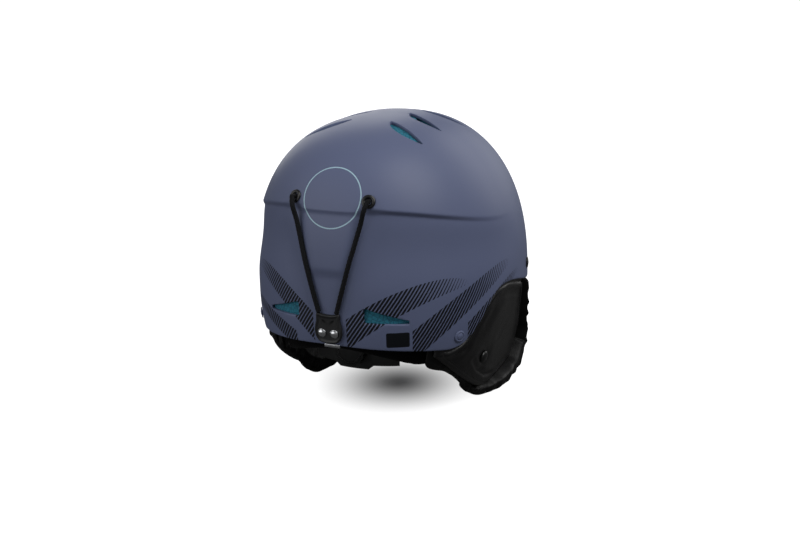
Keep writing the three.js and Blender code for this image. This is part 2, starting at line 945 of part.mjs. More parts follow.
function earSnap() {
  const post = earSnapPost / 2;
  return turned(
    [
      [0, touchGap - panelDepth],
      [post, touchGap - panelDepth],
      [post, touchGap],
      [earSnapRadius, touchGap],
      [earSnapRadius, touchGap + earSnapCap / 3],
      [earSnapRadius * 0.8, touchGap + earSnapCap],
      [0, touchGap + earSnapCap * 1.15],
    ],
    16,
  );
}

// Neck roll: a soft rounded bar that hangs inside the rear rim

function neckRoll() {
  const sections = [];
  for (let i = 0; i <= neckRollSteps; i++) {
    const share = (2 * i) / neckRollSteps - 1;
    const bearing = share * neckRollSpan;
    const reach = planRadius({ half: neckRollHalf, rear: neckRollReach, front: neckRollReach }, bearing);
    const low = neckRollSag - neckRollDrop * Math.abs(share) ** neckRollDropPower;
    const ends = 1 - neckRollEndShare * Math.abs(share) ** padEndPower;
    const high = rimHeight(bearing) + linerLift - touchGap * 1.5;
    const loop = [];
    for (let j = 0; j < neckRollPoints; j++) {
      const angle = (j / neckRollPoints) * 2 * Math.PI;
      const round = (value) => Math.sign(value) * Math.abs(value) ** neckRollRound;
      const radius = reach - (neckRollDepth / 2) * (1 - round(Math.cos(angle)) * ends);
      loop.push(aimed(bearing, radius, (high + low) / 2 + ((high - low) / 2) * round(Math.sin(angle))));
    }
    sections.push(loop);
  }
  return loft(sections);
}

// Straps of webbing

// A flat strap through stations of a point and the direction that its face looks
function strap(stations, width, thickness) {
  const sections = stations.map(({ point, out }, i) => {
    const before = stations[Math.max(i - 1, 0)].point;
    const after = stations[Math.min(i + 1, stations.length - 1)].point;
    const forward = after.clone().sub(before).normalize();
    const wide = forward.clone().cross(out).normalize();
    const face = wide.clone().cross(forward).normalize();
    return [
      [1, 1],
      [-1, 1],
      [-1, -1],
      [1, -1],
    ].map(([a, b]) => {
      const corner = point.clone().addScaledVector(wide, (a * width) / 2);
      return corner.addScaledVector(face, (b * thickness) / 2);
    });
  });
  return loft(sections);
}

// Lengthens a run of stations at both ends, for a cutter
function longer(stations, extra) {
  if (!extra) return stations;
  const reach = (end, next) => {
    const away = end.point.clone().sub(next.point).normalize();
    return { point: end.point.clone().addScaledVector(away, extra), out: end.out };
  };
  return [reach(stations[0], stations[1]), ...stations, reach(stations.at(-1), stations.at(-2))];
}

const web = (stations, room) => strap(longer(stations, room), webWidth + 2 * room, webThickness + 2 * room);

// One leg from its rivet inside the shell, past the rim and down between panel and lining
function legStations(side, rivetTurn, rivetHeight, endPlace, endHeight) {
  const inside = within(shellInside, legSink + webThickness / 2);
  const stations = [];
  const bearing = -rivetTurn;
  const rivet = formPoint(inside, bearing, rivetHeight);
  const start = rivetHeight + webWidth / 2;
  const rim = rimHeight(bearing);
  for (const height of [start, rivetHeight]) {
    const shareDown = (rivetHeight - height) / (rivetHeight - endHeight);
    const place = lerp(rivet.y, endPlace, shareDown);
    const shifted = bearingAt(inside, place, height);
    stations.push({ point: formPoint(inside, shifted, height), out: formNormal(inside, shifted, height) });
  }
  for (let i = 0; i <= legSteps; i++) {
    const height = lerp(lerp(rivetHeight, rim, 0.5), endHeight, i / legSteps);
    const place = lerp(rivet.y, endPlace, (rivetHeight - height) / (rivetHeight - endHeight));
    stations.push({ point: padPoint(place, height, webSink), out: padNormal(place, height) });
  }
  return side > 0 ? stations : stations.map(mirrored);
}
const mirrored = ({ point, out }) => {
  return { point: vec(-point.x, point.y, point.z), out: vec(-out.x, out.y, out.z) };
};

function bearingAt(form, place, height) {
  let bearing = 0;
  let low = 0;
  let high = halfTurn;
  for (let i = 0; i < bisections; i++) {
    bearing = (low + high) / 2;
    if (formPoint(form, bearing, height).y > place) low = bearing;
    else high = bearing;
  }
  return -bearing;
}

const legGap = () => dividerHalf + touchGap;

function frontLeg(side, room = 0) {
  const end = [dividerPlace - legGap() * 0.5, dividerHeight + legGap() * 0.9];
  return web(legStations(side, frontRivetBearing, frontRivetHeight, ...end), room);
}

function rearLeg(side, room = 0) {
  const end = [dividerPlace + legGap() * 0.95, dividerHeight + legGap() * 0.6];
  return web(legStations(side, rearRivetBearing, rearRivetHeight, ...end), room);
}

// The plate where both legs meet the chin strap, on the left
function divider(room = 0) {
  const shape = new THREE.Shape();
  const half = dividerHalf * dividerShare + room;
  shape.absarc(0, 0, half, 0, 2 * Math.PI);
  const normal = padNormal(dividerPlace, dividerHeight);
  const depth = dividerThickness + 2 * room;
  const plateBody = plate(shape, depth, 6).translate(0, 0, -depth / 2);
  return plateBody.applyMatrix4(standOn(padPoint(dividerPlace, dividerHeight, dividerSink), normal));
}

// From the divider forward and inward through the slot in the lining, on the left
function crossingStations() {
  const places = [crossingFrom, lerp(crossingFrom, crossingTo, 0.2), lerp(crossingFrom, crossingTo, 0.5)];
  places.push(lerp(crossingFrom, crossingTo, 0.8), crossingTo, tongueBack + touchGap * 2);
  return places.map((place) => {
    const share = smoothstep(-place, -crossingFrom, -crossingTo);
    const from = padPoint(place, strapLevel, webSink);
    const out = padNormal(place, strapLevel).lerp(vec(1, 0, 0), share);
    return { point: vec(lerp(from.x, strapHalf, share), place, strapLevel), out: out.normalize() };
  });
}

function crossingStrap(room = 0) {
  return web(crossingStations(), room);
}

// The chin strap: right crossing, forward, round the front and back to the socket
function chinStations() {
  const corner = (turnFrom, centreX) => {
    const stations = [];
    for (let i = 0; i <= cornerSteps; i++) {
      const angle = degToRad(turnFrom + (90 * i) / cornerSteps);
      const out = vec(Math.cos(angle), Math.sin(angle), 0);
      const centre = vec(centreX, strapFront + strapCornerRadius, strapLevel);
      stations.push({ point: centre.addScaledVector(out, strapCornerRadius), out });
    }
    return stations;
  };
  const right = crossingStations().map(mirrored);
  const reach = strapHalf - strapCornerRadius;
  const end = { point: vec(strapHalf, socketEnd() - touchGap, strapLevel), out: vec(1, 0, 0) };
  return [...right, ...corner(180, -reach), ...corner(270, reach), end];
}
const socketEnd = () => socketMouth - socketLength;

function chinPad() {
  const half = webWidth / 2 + chinPadRise;
  const sections = [];
  for (let i = 0; i <= chinPadSteps; i++) {
    const share = (2 * i) / chinPadSteps - 1;
    const ends = 1 - chinPadEndShare * Math.abs(share) ** padEndPower;
    const place = chinPadPath(share * chinPadHalf);
    sections.push(
      Array.from({ length: 12 }, (_, j) => {
        const angle = (j / 12) * 2 * Math.PI;
        const round = (value) => Math.sign(value) * Math.abs(value) ** neckRollRound;
        const thick = (chinPadThickness / 2) * round(Math.cos(angle)) * ends;
        const tall = half * round(Math.sin(angle)) * ends;
        return place.point.clone().addScaledVector(place.out, thick).add(vec(0, 0, tall));
      }),
    );
  }
  return cut(loft(sections), strap(chinStations(), webWidth + 2 * pocketGap, webThickness + 2 * pocketGap));
}

// A point of the chin strap at a distance from its middle
function chinPadPath(distance) {
  const straight = strapHalf - strapCornerRadius;
  const side = Math.sign(distance) || 1;
  const run = Math.abs(distance);
  if (run <= straight) return { point: vec(distance, strapFront, strapLevel), out: vec(0, -1, 0) };
  const angle = (run - straight) / strapCornerRadius;
  const out = vec(side * Math.sin(angle), -Math.cos(angle), 0);
  const centre = vec(side * straight, strapFront + strapCornerRadius, strapLevel);
  return { point: centre.addScaledVector(out, strapCornerRadius), out };
}

// Buckle: the outlines lie in the Y-Z plane and get their thickness across X
function standPlate(shape, thickness) {
  const body = plate(shape, thickness, 6);
  body.applyMatrix4(new THREE.Matrix4().makeBasis(vec(0, 1, 0), vec(0, 0, 1), vec(1, 0, 0)));
  return body.translate(strapHalf - thickness / 2, 0, strapLevel);
}

function roundedRect(left, bottom, right, top, radius) {
  const shape = new THREE.Shape();
  shape.moveTo(left + radius, bottom);
  shape.lineTo(right - radius, bottom);
  shape.quadraticCurveTo(right, bottom, right, bottom + radius);
  shape.lineTo(right, top - radius);
  shape.quadraticCurveTo(right, top, right - radius, top);
  shape.lineTo(left + radius, top);
  shape.quadraticCurveTo(left, top, left, top - radius);
  shape.lineTo(left, bottom + radius);
  shape.quadraticCurveTo(left, bottom, left + radius, bottom);
  return shape;
}

const mouthHalf = () => buckleHalf - buckleWall;
const cavityDepth = () => prongReach + prongRoom;

function buckleSocket() {
  const body = standPlate(
    roundedRect(socketEnd(), -buckleHalf, socketMouth, buckleHalf, buckleCorner),
    buckleThickness,
  );
  const room = tongueThickness / 2 + pocketGap;
  const cavity = box(
    vec(strapHalf - room, socketMouth - cavityDepth(), strapLevel - mouthHalf()),
    vec(strapHalf + room, socketMouth + overrun, strapLevel + mouthHalf()),
  );
  const windowFrom = socketMouth - prongReach + prongWidth;
  const windowCut = box(
    vec(strapHalf - room, windowFrom - prongWidth, strapLevel - buckleHalf - overrun),
    vec(strapHalf + room, windowFrom + prongWidth * 2, strapLevel + buckleHalf + overrun),
  );
  return cut(body, cavity, windowCut);
}

function buckleTongue() {
  const back = tongueBack;
  const face = socketMouth + touchGap;
  const bar = standPlate(roundedRect(face, -buckleHalf, back, buckleHalf, buckleCorner), buckleThickness);
  const outer = mouthHalf() - pocketGap;
  const tip = socketMouth - prongReach;
  const prongs = [1, -1].map((side) => {
    const shape = new THREE.Shape();
    shape.moveTo(face + touchGap, side * outer);
    shape.lineTo(tip + prongWidth * 2, side * outer);
    shape.lineTo(tip + prongWidth / 2, side * (outer - prongWidth / 4));
    shape.lineTo(tip, side * (outer - prongWidth));
    shape.lineTo(face + touchGap, side * (outer - prongWidth));
    return standPlate(shape, tongueThickness);
  });
  const guideTip = socketMouth - prongReach * guideShare;
  const half = prongWidth / 2;
  const guideOutline = roundedRect(guideTip, -half, face + touchGap, half, half / 2);
  const guide = standPlate(guideOutline, tongueThickness);
  return join(bar, ...prongs, guide);
}

function strapSlider() {
  const half = webWidth / 2 + buckleWall;
  const outline = roundedRect(sliderPlace - sliderLength, -half, sliderPlace, half, buckleWall);
  const body = standPlate(outline, webThickness * 3);
  return cut(body, strap(chinStations(), webWidth + 2 * pocketGap, webThickness + 2 * pocketGap));
}

// Retainer at the back

function grommet() {
  return turned([
    [grommetBore, -shellWall - wallSlack - grommetLip],
    [grommetRadius * 0.9, -shellWall - wallSlack - grommetLip],
    [grommetRadius * 0.9, -shellWall - wallSlack],
    [grommetBarrel, -shellWall - wallSlack],
    [grommetBarrel, touchGap],
    [grommetRadius, touchGap],
    [grommetRadius * 0.93, touchGap + grommetLip * 0.8],
    [grommetRadius * 0.7, touchGap + grommetLip],
    [grommetBore + touchGap, touchGap + grommetLip * 0.8],
    [grommetBore, touchGap],
    [grommetBore, -shellWall - wallSlack - grommetLip],
  ]);
}

// The end of the cord that stays in the shell: a knot behind the grommet and a stub through its bore
function cordKnot() {
  const bore = grommetBore - touchGap;
  const back = -shellWall - knotBack;
  const flat = Math.sqrt(knotRadius ** 2 - bore ** 2);
  const profile = [[0, back - knotRadius]];
  for (let i = 1; i < knotSteps; i++) {
    const angle = -Math.PI / 2 + (i / knotSteps) * (Math.PI / 2 + Math.asin(flat / knotRadius));
    profile.push([knotRadius * Math.cos(angle), back + knotRadius * Math.sin(angle)]);
  }
  profile.push([bore, back + flat], [bore, touchGap + grommetLip], [0, touchGap + grommetLip]);
  return turned(profile, 12);
}

// Middle of the cord's bend at the grommet's mouth, which the retainer swings about
function cordPivot(side) {
  const { point, normal } = grommetSeat(side);
  return point.clone().addScaledVector(normal, grommetLip + cordRadius + touchGap * 3);
}

// Heights of the cord's points, as shares of the way down from grommet to tab
const cordShares = [0, 0.08, 0.2, 0.36, 0.52, 0.68, 0.84, 1];

function retainerCord(side) {
  const pivot = cordPivot(side);
  const points = cordShares.map((share) => {
    const across = lerp(pivot.x, side * cordEndHalf, share);
    const height = lerp(pivot.z, cordEndHeight, share);
    const skin = formPoint(shellForm, shellFace(across, height), height).y + cordRise;
    const lift = (1 - smoothstep(share, cordShares[1], cordShares[3])) * Math.max(pivot.y - skin, cordLift);
    return vec(across, share ? skin + lift : pivot.y, height);
  });
  points[0] = pivot;
  const path = new THREE.CatmullRomCurve3(points);
  const section = new THREE.Shape();
  section.absarc(0, 0, cordRadius, 0, 2 * Math.PI);
  const along = { steps: cordSteps, curveSegments: cordSegments, bevelEnabled: false, extrudePath: path };
  return new THREE.ExtrudeGeometry(section, along);
}

function tabShape() {
  const shape = new THREE.Shape();
  shape.moveTo(-tabTopHalf, tabTopHeight);
  shape.quadraticCurveTo(0, tabTopHeight - tabTopDip, tabTopHalf, tabTopHeight);
  shape.quadraticCurveTo(tabTopHalf, tabWideHeight + tabTopDip * 3, tabWideHalf, tabWideHeight);
  shape.quadraticCurveTo(tabWideHalf, tabBottomHeight + tabTopDip, tabWideHalf / 2, tabBottomHeight);
  shape.quadraticCurveTo(0, tabBottomHeight - tabTopDip / 2, -tabWideHalf / 2, tabBottomHeight);
  shape.quadraticCurveTo(-tabWideHalf, tabBottomHeight + tabTopDip, -tabWideHalf, tabWideHeight);
  shape.quadraticCurveTo(-tabTopHalf, tabWideHeight + tabTopDip * 3, -tabTopHalf, tabTopHeight);
  return shape;
}

function retainerTab() {
  const body = plate(tabShape(), tabThickness, 5).rotateX(Math.PI / 2);
  body.translate(0, tabFace() + tabThickness, 0);
  const holes = Object.values(sides).map((side) =>
    placed(disc(snapBarrel + touchGap, -overrun, overrun, 16), onSeat(snapSeat(side))),
  );
  return cut(body, ...holes);
}

// The cap with its socket, measured from the tab's inner face outwards
function snapCap() {
  const top = tabThickness + touchGap;
  const socket = snapStudRadius + touchGap;
  return turned([
    [socket, touchGap],
    [snapBarrel, touchGap],
    [snapBarrel, top],
    [snapCapRadius, top],
    [snapCapRadius, top + snapCapRise * 0.35],
    [snapCapRadius * 0.8, top + snapCapRise * 0.8],
    [snapCapRadius * 0.4, top + snapCapRise],
    [0, top + snapCapRise],
    [0, top - touchGap],
    [socket, top - touchGap],
    [socket, touchGap],
  ], 14);
}

function snapStud() {
  return turned([
    [0, -shellWall - wallSlack - snapFoot],
    [snapStudRadius, -shellWall - wallSlack - snapFoot],
    [snapStudRadius, -shellWall - wallSlack],
    [snapRivetRadius, -shellWall - wallSlack],
    [snapRivetRadius, 0],
    [snapStudRadius, snapStudRise * 0.5],
    [snapStudRadius, snapStudRise * 0.8],
    [snapStudRadius * 0.6, snapStudRise],
    [0, snapStudRise],
  ], 12);
}

// The clip: a strip folded round the rim below the tab, a little to the wearer's right
function rimClip() {
  const sections = [];
  for (let i = 0; i <= clipSteps; i++) {
    const across = -lerp(clipInner, clipOuter, i / clipSteps);
    const bearing = shellFace(across, rearRimHeight);
    const rim = rimHeight(bearing);
    const out = (depth) => formPoint(within(shellForm, depth), bearing, rim + clipLip).setZ(0).length();
    const outer = out(0) + touchGap * 3;
    const inner = out(shellWall) - touchGap * 3;
    const tall = rim + clipLip;
    const shortTall = rim + clipLip * 0.8;
    const foot = rim - touchGap * 2;
    const profile = [
      [outer + clipWall, tall],
      [outer, tall],
      [outer, foot],
      [inner, foot],
      [inner, shortTall],
      [inner - clipWall, shortTall],
      [inner - clipWall, foot - clipWall],
      [outer + clipWall, foot - clipWall],
    ];
    sections.push(profile.map(([radius, height]) => aimed(bearing, radius, height)));
  }
  return loft(sections);
}

function strapRivet() {
  return turned([
    [0, -shellWall - rivetPocketDepth + touchGap],
    [rivetShank, -shellWall - rivetPocketDepth + touchGap],
    [rivetShank, touchGap],
    [rivetRadius, touchGap],
    [rivetRadius, touchGap + rivetRise * 0.35],
    [rivetRadius * 0.75, touchGap + rivetRise * 0.85],
    [0, touchGap + rivetRise],
  ], 16);
}

const legWithHole = (leg, seat) =>
  cut(leg, placed(disc(rivetShank + touchGap, -shellWall - overrun * 2, overrun, 16), onSeat(seat)));

// Fit adjuster

const pitchRadius = (toothModule * pinionTeeth) / 2;
const toothPitch = Math.PI * toothModule;
const addendum = toothModule * addendumShare;
const dedendum = toothModule * dedendumShare;
const flank = Math.tan(degToRad(flankAngle));
const pitchTurn = THREE.MathUtils.radToDeg(toothPitch / bandRadius);

// A band with its rack. Turns grow towards its own side; upper says which way its teeth look.
function fitBand(side, upper) {
  const sign = upper ? 1 : -1;
  const back = pitchRadius + rackBack;
  const level = (fromDial) => dialHeight + sign * fromDial;
  const sections = [];
  const station = (turn, edge) => {
    const bearing = -side * turn;
    const inner = bandRadius - bandThickness / 2;
    const outer = bandRadius + bandThickness / 2;
    sections.push([
      aimed(bearing, inner, level(edge)),
      aimed(bearing, outer, level(edge)),
      aimed(bearing, outer, level(back)),
      aimed(bearing, inner, level(back)),
    ]);
  };
  const root = pitchRadius + dedendum;
  const tip = pitchRadius - addendum;
  const halfTooth = toothPitch / 4 - toothBacklash / 2;
  const degrees = (length) => THREE.MathUtils.radToDeg(length / bandRadius);
  station(-rackEnd, root);
  const teeth = Math.floor(rackHalfSpan / pitchTurn);
  for (let i = -teeth; i < teeth; i++) {
    const middle = (i + 0.5) * pitchTurn;
    station(middle - degrees(halfTooth + dedendum * flank), root);
    station(middle - degrees(halfTooth - addendum * flank), tip);
    station(middle + degrees(halfTooth - addendum * flank), tip);
    station(middle + degrees(halfTooth + dedendum * flank), root);
  }
  station(rackEnd, root);
  station(bandTallFrom - bandTaper, root);
  for (let turn = bandTallFrom; turn <= bandEnd; turn += (bandEnd - bandTallFrom) / bandSteps) {
    station(turn, -bandTallReach);
  }
  return loft(sections);
}

// Knob, journal and pinion in one moulding, turned about the dial's own axis
function fitDial() {
  const knobShape = new THREE.Shape();
  const steps = dialLobes * 4;
  for (let i = 0; i < steps; i++) {
    const angle = (i / steps) * 2 * Math.PI;
    const radius = dialRadius - (dialLobeDepth / 2) * (1 - Math.cos(angle * dialLobes));
    const corner = [radius * Math.cos(angle), radius * Math.sin(angle)];
    if (i === 0) knobShape.moveTo(...corner);
    else knobShape.lineTo(...corner);
  }
  knobShape.closePath();
  const knob = plate(knobShape, dialDepth).translate(0, 0, housingOuter + touchGap);
  const journal = disc(journalRadius, channelOuter, housingOuter + touchGap * 2, 32);
  return join(knob, journal, pinion());
}

function pinion() {
  const shape = new THREE.Shape();
  const half = (toothPitch / 4 - toothBacklash / 2) / pitchRadius;
  const rootRadius = pitchRadius - dedendum;
  const tipRadius = pitchRadius + addendum;
  const rootHalf = half + (dedendum * flank) / pitchRadius;
  const tipHalf = half - (addendum * flank) / tipRadius;
  for (let i = 0; i < pinionTeeth; i++) {
    const middle = Math.PI / 2 + (i / pinionTeeth) * 2 * Math.PI;
    const corners = [
      [rootRadius, -rootHalf],
      [pitchRadius, -half],
      [tipRadius, -tipHalf],
      [tipRadius, tipHalf],
      [pitchRadius, half],
      [rootRadius, rootHalf],
    ];
    corners.forEach(([radius, angle], j) => {
      const at = [radius * Math.cos(middle + angle), radius * Math.sin(middle + angle)];
      if (i === 0 && j === 0) shape.moveTo(...at);
      else shape.lineTo(...at);
    });
  }
  shape.closePath();
  const inner = bandRadius - bandThickness;
  return plate(shape, channelOuter + touchGap - inner).translate(0, 0, inner);
}

// Turns a piece built up +Z so that it looks to the rear from the dial's centre
const atDial = (geometry) => geometry.rotateX(-Math.PI / 2).translate(0, 0, dialHeight);

// A body that follows the band's curve, from a profile of radius and height at each bearing
function curvedBar(span, steps, profileAt) {
  const sections = [];
  for (let i = 0; i <= steps; i++) {
    const bearing = lerp(-span, span, i / steps);
    sections.push(profileAt(bearing).map(([radius, height]) => aimed(bearing, radius, height)));
  }
  return loft(sections);
}

function fitHousing() {
  const top = dialHeight + housingHalf;
  const bar = curvedBar(housingSpan, housingSteps, (bearing) => {
    const drop = lobeDrop * (1 - smoothstep(Math.abs(bearing), lobeSpan - lobeEase, lobeSpan));
    const foot = dialHeight - housingHalf - drop;
    return [
      [housingInner, foot],
      [housingOuter, foot],
      [housingOuter, top],
      [housingInner, top],
      [housingInner, dialHeight + channelHalf],
      [channelOuter, dialHeight + channelHalf],
      [channelOuter, dialHeight - channelHalf],
      [housingInner, dialHeight - channelHalf],
    ];
  });
  const journal = atDial(disc(journalRadius + journalGap, 0, housingOuter + overrun, 32));
  return cut(bar, journal, ...plateScrewTools());
}

function plateScrewSeats() {
  return Object.values(sides).map((side) => {
    const bearing = -side * plateScrewBearing;
    const inward = aimed(bearing, -1, 0);
    return { point: aimed(bearing, plateInner(), dialHeight - housingHalf + screwInset), normal: inward };
  });
}
const plateInner = () => housingInner - touchGap - backPlateDepth;

function plateScrewTools() {
  const tool = disc(plateScrewRadius / 2 + touchGap, -screwLength - touchGap, overrun, 10);
  return plateScrewSeats().map((seat) => placed(tool, onSeat(seat)));
}

function plateScrew() {
  return turned([
    [0, -screwLength],
    [plateScrewRadius / 2, -screwLength],
    [plateScrewRadius / 2, touchGap],
    [plateScrewRadius, touchGap],
    [plateScrewRadius * 0.7, touchGap * 3],
    [0, touchGap * 3],
  ], 10);
}

function backPlate() {
  const outer = housingInner - touchGap;
  const half = housingHalf - touchGap;
  const bar = curvedBar(housingSpan, housingSteps / 2, () => [
    [outer - backPlateDepth, dialHeight - half],
    [outer, dialHeight - half],
    [outer, dialHeight + half],
    [outer - backPlateDepth, dialHeight + half],
  ]);
  return cut(bar, ...plateScrewTools());
}

function napePad() {
  const span = THREE.MathUtils.radToDeg(napePadHalf / bandRadius);
  const outer = plateInner() - touchGap;
  return curvedBar(span, 10, (bearing) => {
    const ends = 1 - (bearing / span) ** 6 * napePadEndShare;
    const half = (napePadTall / 2) * ends;
    const deep = napePadDepth * ends;
    return [
      [outer, dialHeight - half],
      [outer, dialHeight + half],
      [outer - deep * 0.6, dialHeight + half * 0.94],
      [outer - deep, dialHeight + half * 0.5],
      [outer - deep, dialHeight - half * 0.5],
      [outer - deep * 0.6, dialHeight - half * 0.94],
    ];
  });
}

// A bent strip from its middle line in radius and height, with its width along X
function bentStrip(line, width, thickness) {
  const curve = new THREE.SplineCurve(line.map(([radius, height]) => new THREE.Vector2(radius, height)));
  const sections = curve.getPoints(bentSteps).map((at, i) => {
    const direction = curve.getTangent(i / bentSteps);
    const across = new THREE.Vector2(-direction.y, direction.x).multiplyScalar(thickness / 2);
    return [
      vec(-width / 2, at.x + across.x, at.y + across.y),
      vec(width / 2, at.x + across.x, at.y + across.y),
      vec(width / 2, at.x - across.x, at.y - across.y),
      vec(-width / 2, at.x - across.x, at.y - across.y),
    ];
  });
  return loft(sections);
}

function cradleStem() {
  const wall = (height) => {
    const face = formPoint(linerInside, 0, height, false);
    const inward = formNormal(linerInside, 0, height, false).multiplyScalar(-padStandOff - stemThickness / 2);
    return [face.y + inward.y, face.z + inward.z];
  };
  const foot = dialHeight + housingHalf + touchGap * 2;
  const strip = bentStrip(
    [
      [housingInner + (housingOuter - housingInner) / 2, foot],
      [housingOuter, foot + stemRise],
      [wall(foot + 2 * stemRise)[0] - stemThickness, foot + 2 * stemRise],
      wall(stemTop - stemRise),
      wall(stemTop),
    ],
    stemWidth,
    stemThickness,
  );
  return strip;
}

// A hook that hangs from the liner's inner wall and carries the band
function bandGuide(side, upper) {
  const sign = upper ? 1 : -1;
  const levels = [dialHeight - sign * bandTallReach, dialHeight + sign * (pitchRadius + rackBack)];
  const low = Math.min(...levels) - pocketGap;
  const high = Math.max(...levels) + pocketGap;
  const bandOut = bandRadius + bandThickness / 2 + pocketGap;
  const bandIn = bandRadius - bandThickness / 2 - pocketGap;
  const bearing = -side * guideBearing;
  const top = rimHeight(bearing) + linerLift + guideRise;
  const bend = rimHeight(bearing) + linerLift + guideWall;
  const beneath = within(linerInside, padStandOff);
  const reachAt = (height) => formPoint(beneath, bearing, height, false).setZ(0).length();
  const wall = Math.min(reachAt(top), reachAt(bend)) - pocketGap;
  const profile = [
    [bandIn, low],
    [bandIn, low + guideWall],
    [bandIn - guideWall, low + guideWall],
    [bandIn - guideWall, low - guideWall],
    [bandOut + guideWall, low - guideWall],
    [bandOut + guideWall, high],
    [wall, bend],
    [wall, top],
    [wall - guideWall, top],
    [wall - guideWall, bend + guideWall / 2],
    [bandOut, high + guideWall],
    [bandIn - guideWall, high + guideWall],
    [bandIn - guideWall, high - guideWall],
    [bandIn, high - guideWall],
    [bandIn, high],
    [bandOut, high],
    [bandOut, low],
  ];
  const shape = new THREE.Shape(profile.map(([radius, height]) => new THREE.Vector2(radius, height)));
  const body = plate(shape, guideWidth).translate(0, 0, -guideWidth / 2);
  const outward = aimed(bearing, 1, 0);
  const round = vec(0, 0, 1).cross(outward).negate();
  return body.applyMatrix4(new THREE.Matrix4().makeBasis(outward, vec(0, 0, 1), round));
}

// Assembly

const helmet = new THREE.Group();

function add(name, geometry, material, matrix) {
  const mesh = new THREE.Mesh(geometry, material);
  mesh.name = name;
  if (matrix) matrix.decompose(mesh.position, mesh.quaternion, mesh.scale);
  helmet.add(mesh);
  return mesh;
}

add("shell", shell(), shellPaint);
add("liner", liner(), foam);
add("brow_pad", wallPad(halfTurn - browPadSpan, halfTurn + browPadSpan, browPadLow, browPadTall), padMesh);
add("crown_pad", crownPad(), padMesh);
add("neck_roll", neckRoll(), leatherette);
add("retainer_tab", retainerTab(), blackPlastic);
add("rim_clip", rimClip(), greyMetal);
add("fit_housing", fitHousing(), blackPlastic);
add("fit_back_plate", backPlate(), blackPlastic);
add("fit_dial", atDial(fitDial()), blackPlastic);
add("nape_pad", napePad(), padMesh);
add("cradle_stem", cradleStem(), blackPlastic);
add("chin_strap", web(chinStations(), 0), webbing);
add("buckle_strap", crossingStrap(), webbing);
add("buckle_socket", buckleSocket(), blackPlastic);
add("buckle_tongue", buckleTongue(), blackPlastic);
add("strap_slider", strapSlider(), blackPlastic);
add("chin_pad", chinPad(), leatherette);

const plateScrewSeatList = plateScrewSeats();
for (const [i, [name, side]] of Object.entries(sides).entries()) {
  const own = (geometry) => (side > 0 ? geometry : mirrorAcross(geometry));
  add(`side_pad_${name}`, wallPad(-side * sidePadFrom, -side * sidePadTo, sidePadLow, sidePadTall), padMesh);
  add(`rear_pad_${name}`, wallPad(-side * rearPadFrom, -side * rearPadTo, rearPadLow, rearPadTall), padMesh);
  add(`ear_panel_${name}`, own(earPanel()), leatherette);
  add(`ear_lining_${name}`, own(earLining()), fleece);
  add(`ear_snap_${name}`, own(placed(earSnap(), onSeat(earSnapSeat()))), blackPlastic);
  add(`grommet_${name}`, grommet(), blackPlastic, onSeat(grommetSeat(side)));
  add(`cord_knot_${name}`, cordKnot(), elastic, onSeat(grommetSeat(side)));
  add(`cord_${name}`, retainerCord(side), elastic);
  add(`snap_cap_${name}`, snapCap(), chrome, onSeat(snapSeat(side)));
  add(`snap_stud_${name}`, snapStud(), chrome, onSeat(snapSeat(side)));
  add(`front_rivet_${name}`, strapRivet(), blackPlastic, onSeat(frontRivetSeat(side)));
  add(`rear_rivet_${name}`, strapRivet(), shellPaint, onSeat(rearRivetSeat(side)));
  add(`front_leg_${name}`, legWithHole(frontLeg(side), frontRivetSeat(side)), webbing);
  add(`rear_leg_${name}`, legWithHole(rearLeg(side), rearRivetSeat(side)), webbing);
  add(`strap_divider_${name}`, own(divider()), blackPlastic);
  add(`fit_band_${name}`, fitBand(side, side > 0), blackPlastic);
  add(`band_guide_${name}`, bandGuide(side, side > 0), blackPlastic);
  add(`plate_screw_${name}`, plateScrew(), greyMetal, onSeat(plateScrewSeatList[i]));
}

// Stand the helmet on its ear pads, with the middle of its length over the origin
const bounds = new THREE.Box3().setFromObject(helmet, true);
helmet.position.set(0, -(bounds.min.y + bounds.max.y) / 2, -bounds.min.z);

export default helmet;
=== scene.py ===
import json
import math
import bmesh
import bpy
import numpy as np
from mathutils import Matrix, Vector, noise


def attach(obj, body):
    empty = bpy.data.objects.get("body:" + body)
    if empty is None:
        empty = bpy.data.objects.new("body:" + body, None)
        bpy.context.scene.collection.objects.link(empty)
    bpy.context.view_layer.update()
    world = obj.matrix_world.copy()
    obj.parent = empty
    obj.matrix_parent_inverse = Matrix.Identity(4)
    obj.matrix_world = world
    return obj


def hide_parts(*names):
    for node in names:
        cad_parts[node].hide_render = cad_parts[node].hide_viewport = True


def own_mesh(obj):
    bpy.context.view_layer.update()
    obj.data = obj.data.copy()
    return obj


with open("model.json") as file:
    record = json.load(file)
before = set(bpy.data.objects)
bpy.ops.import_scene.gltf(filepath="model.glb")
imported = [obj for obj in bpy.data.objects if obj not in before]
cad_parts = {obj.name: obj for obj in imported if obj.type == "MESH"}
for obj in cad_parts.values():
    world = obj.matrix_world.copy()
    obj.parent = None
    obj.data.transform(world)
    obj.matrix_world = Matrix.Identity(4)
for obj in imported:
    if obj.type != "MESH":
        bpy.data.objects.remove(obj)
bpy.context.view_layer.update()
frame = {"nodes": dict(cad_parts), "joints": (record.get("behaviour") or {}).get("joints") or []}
print("frame loaded")

# Sizes are in millimetres about the shell's own axis, as the dial's joint gives it, and go to metres in toWorld
mm = 0.001
joints = {joint["name"]: joint for joint in frame["joints"]}
dialHeight = 4
axisPlace = joints["band_left_slide"]["pos_m"]
datum = np.array([0, axisPlace[1], axisPlace[2] - dialHeight * mm])
sides = {"left": 1, "right": -1}


def toWorld(points):
    return np.asarray(points, float) * mm + datum


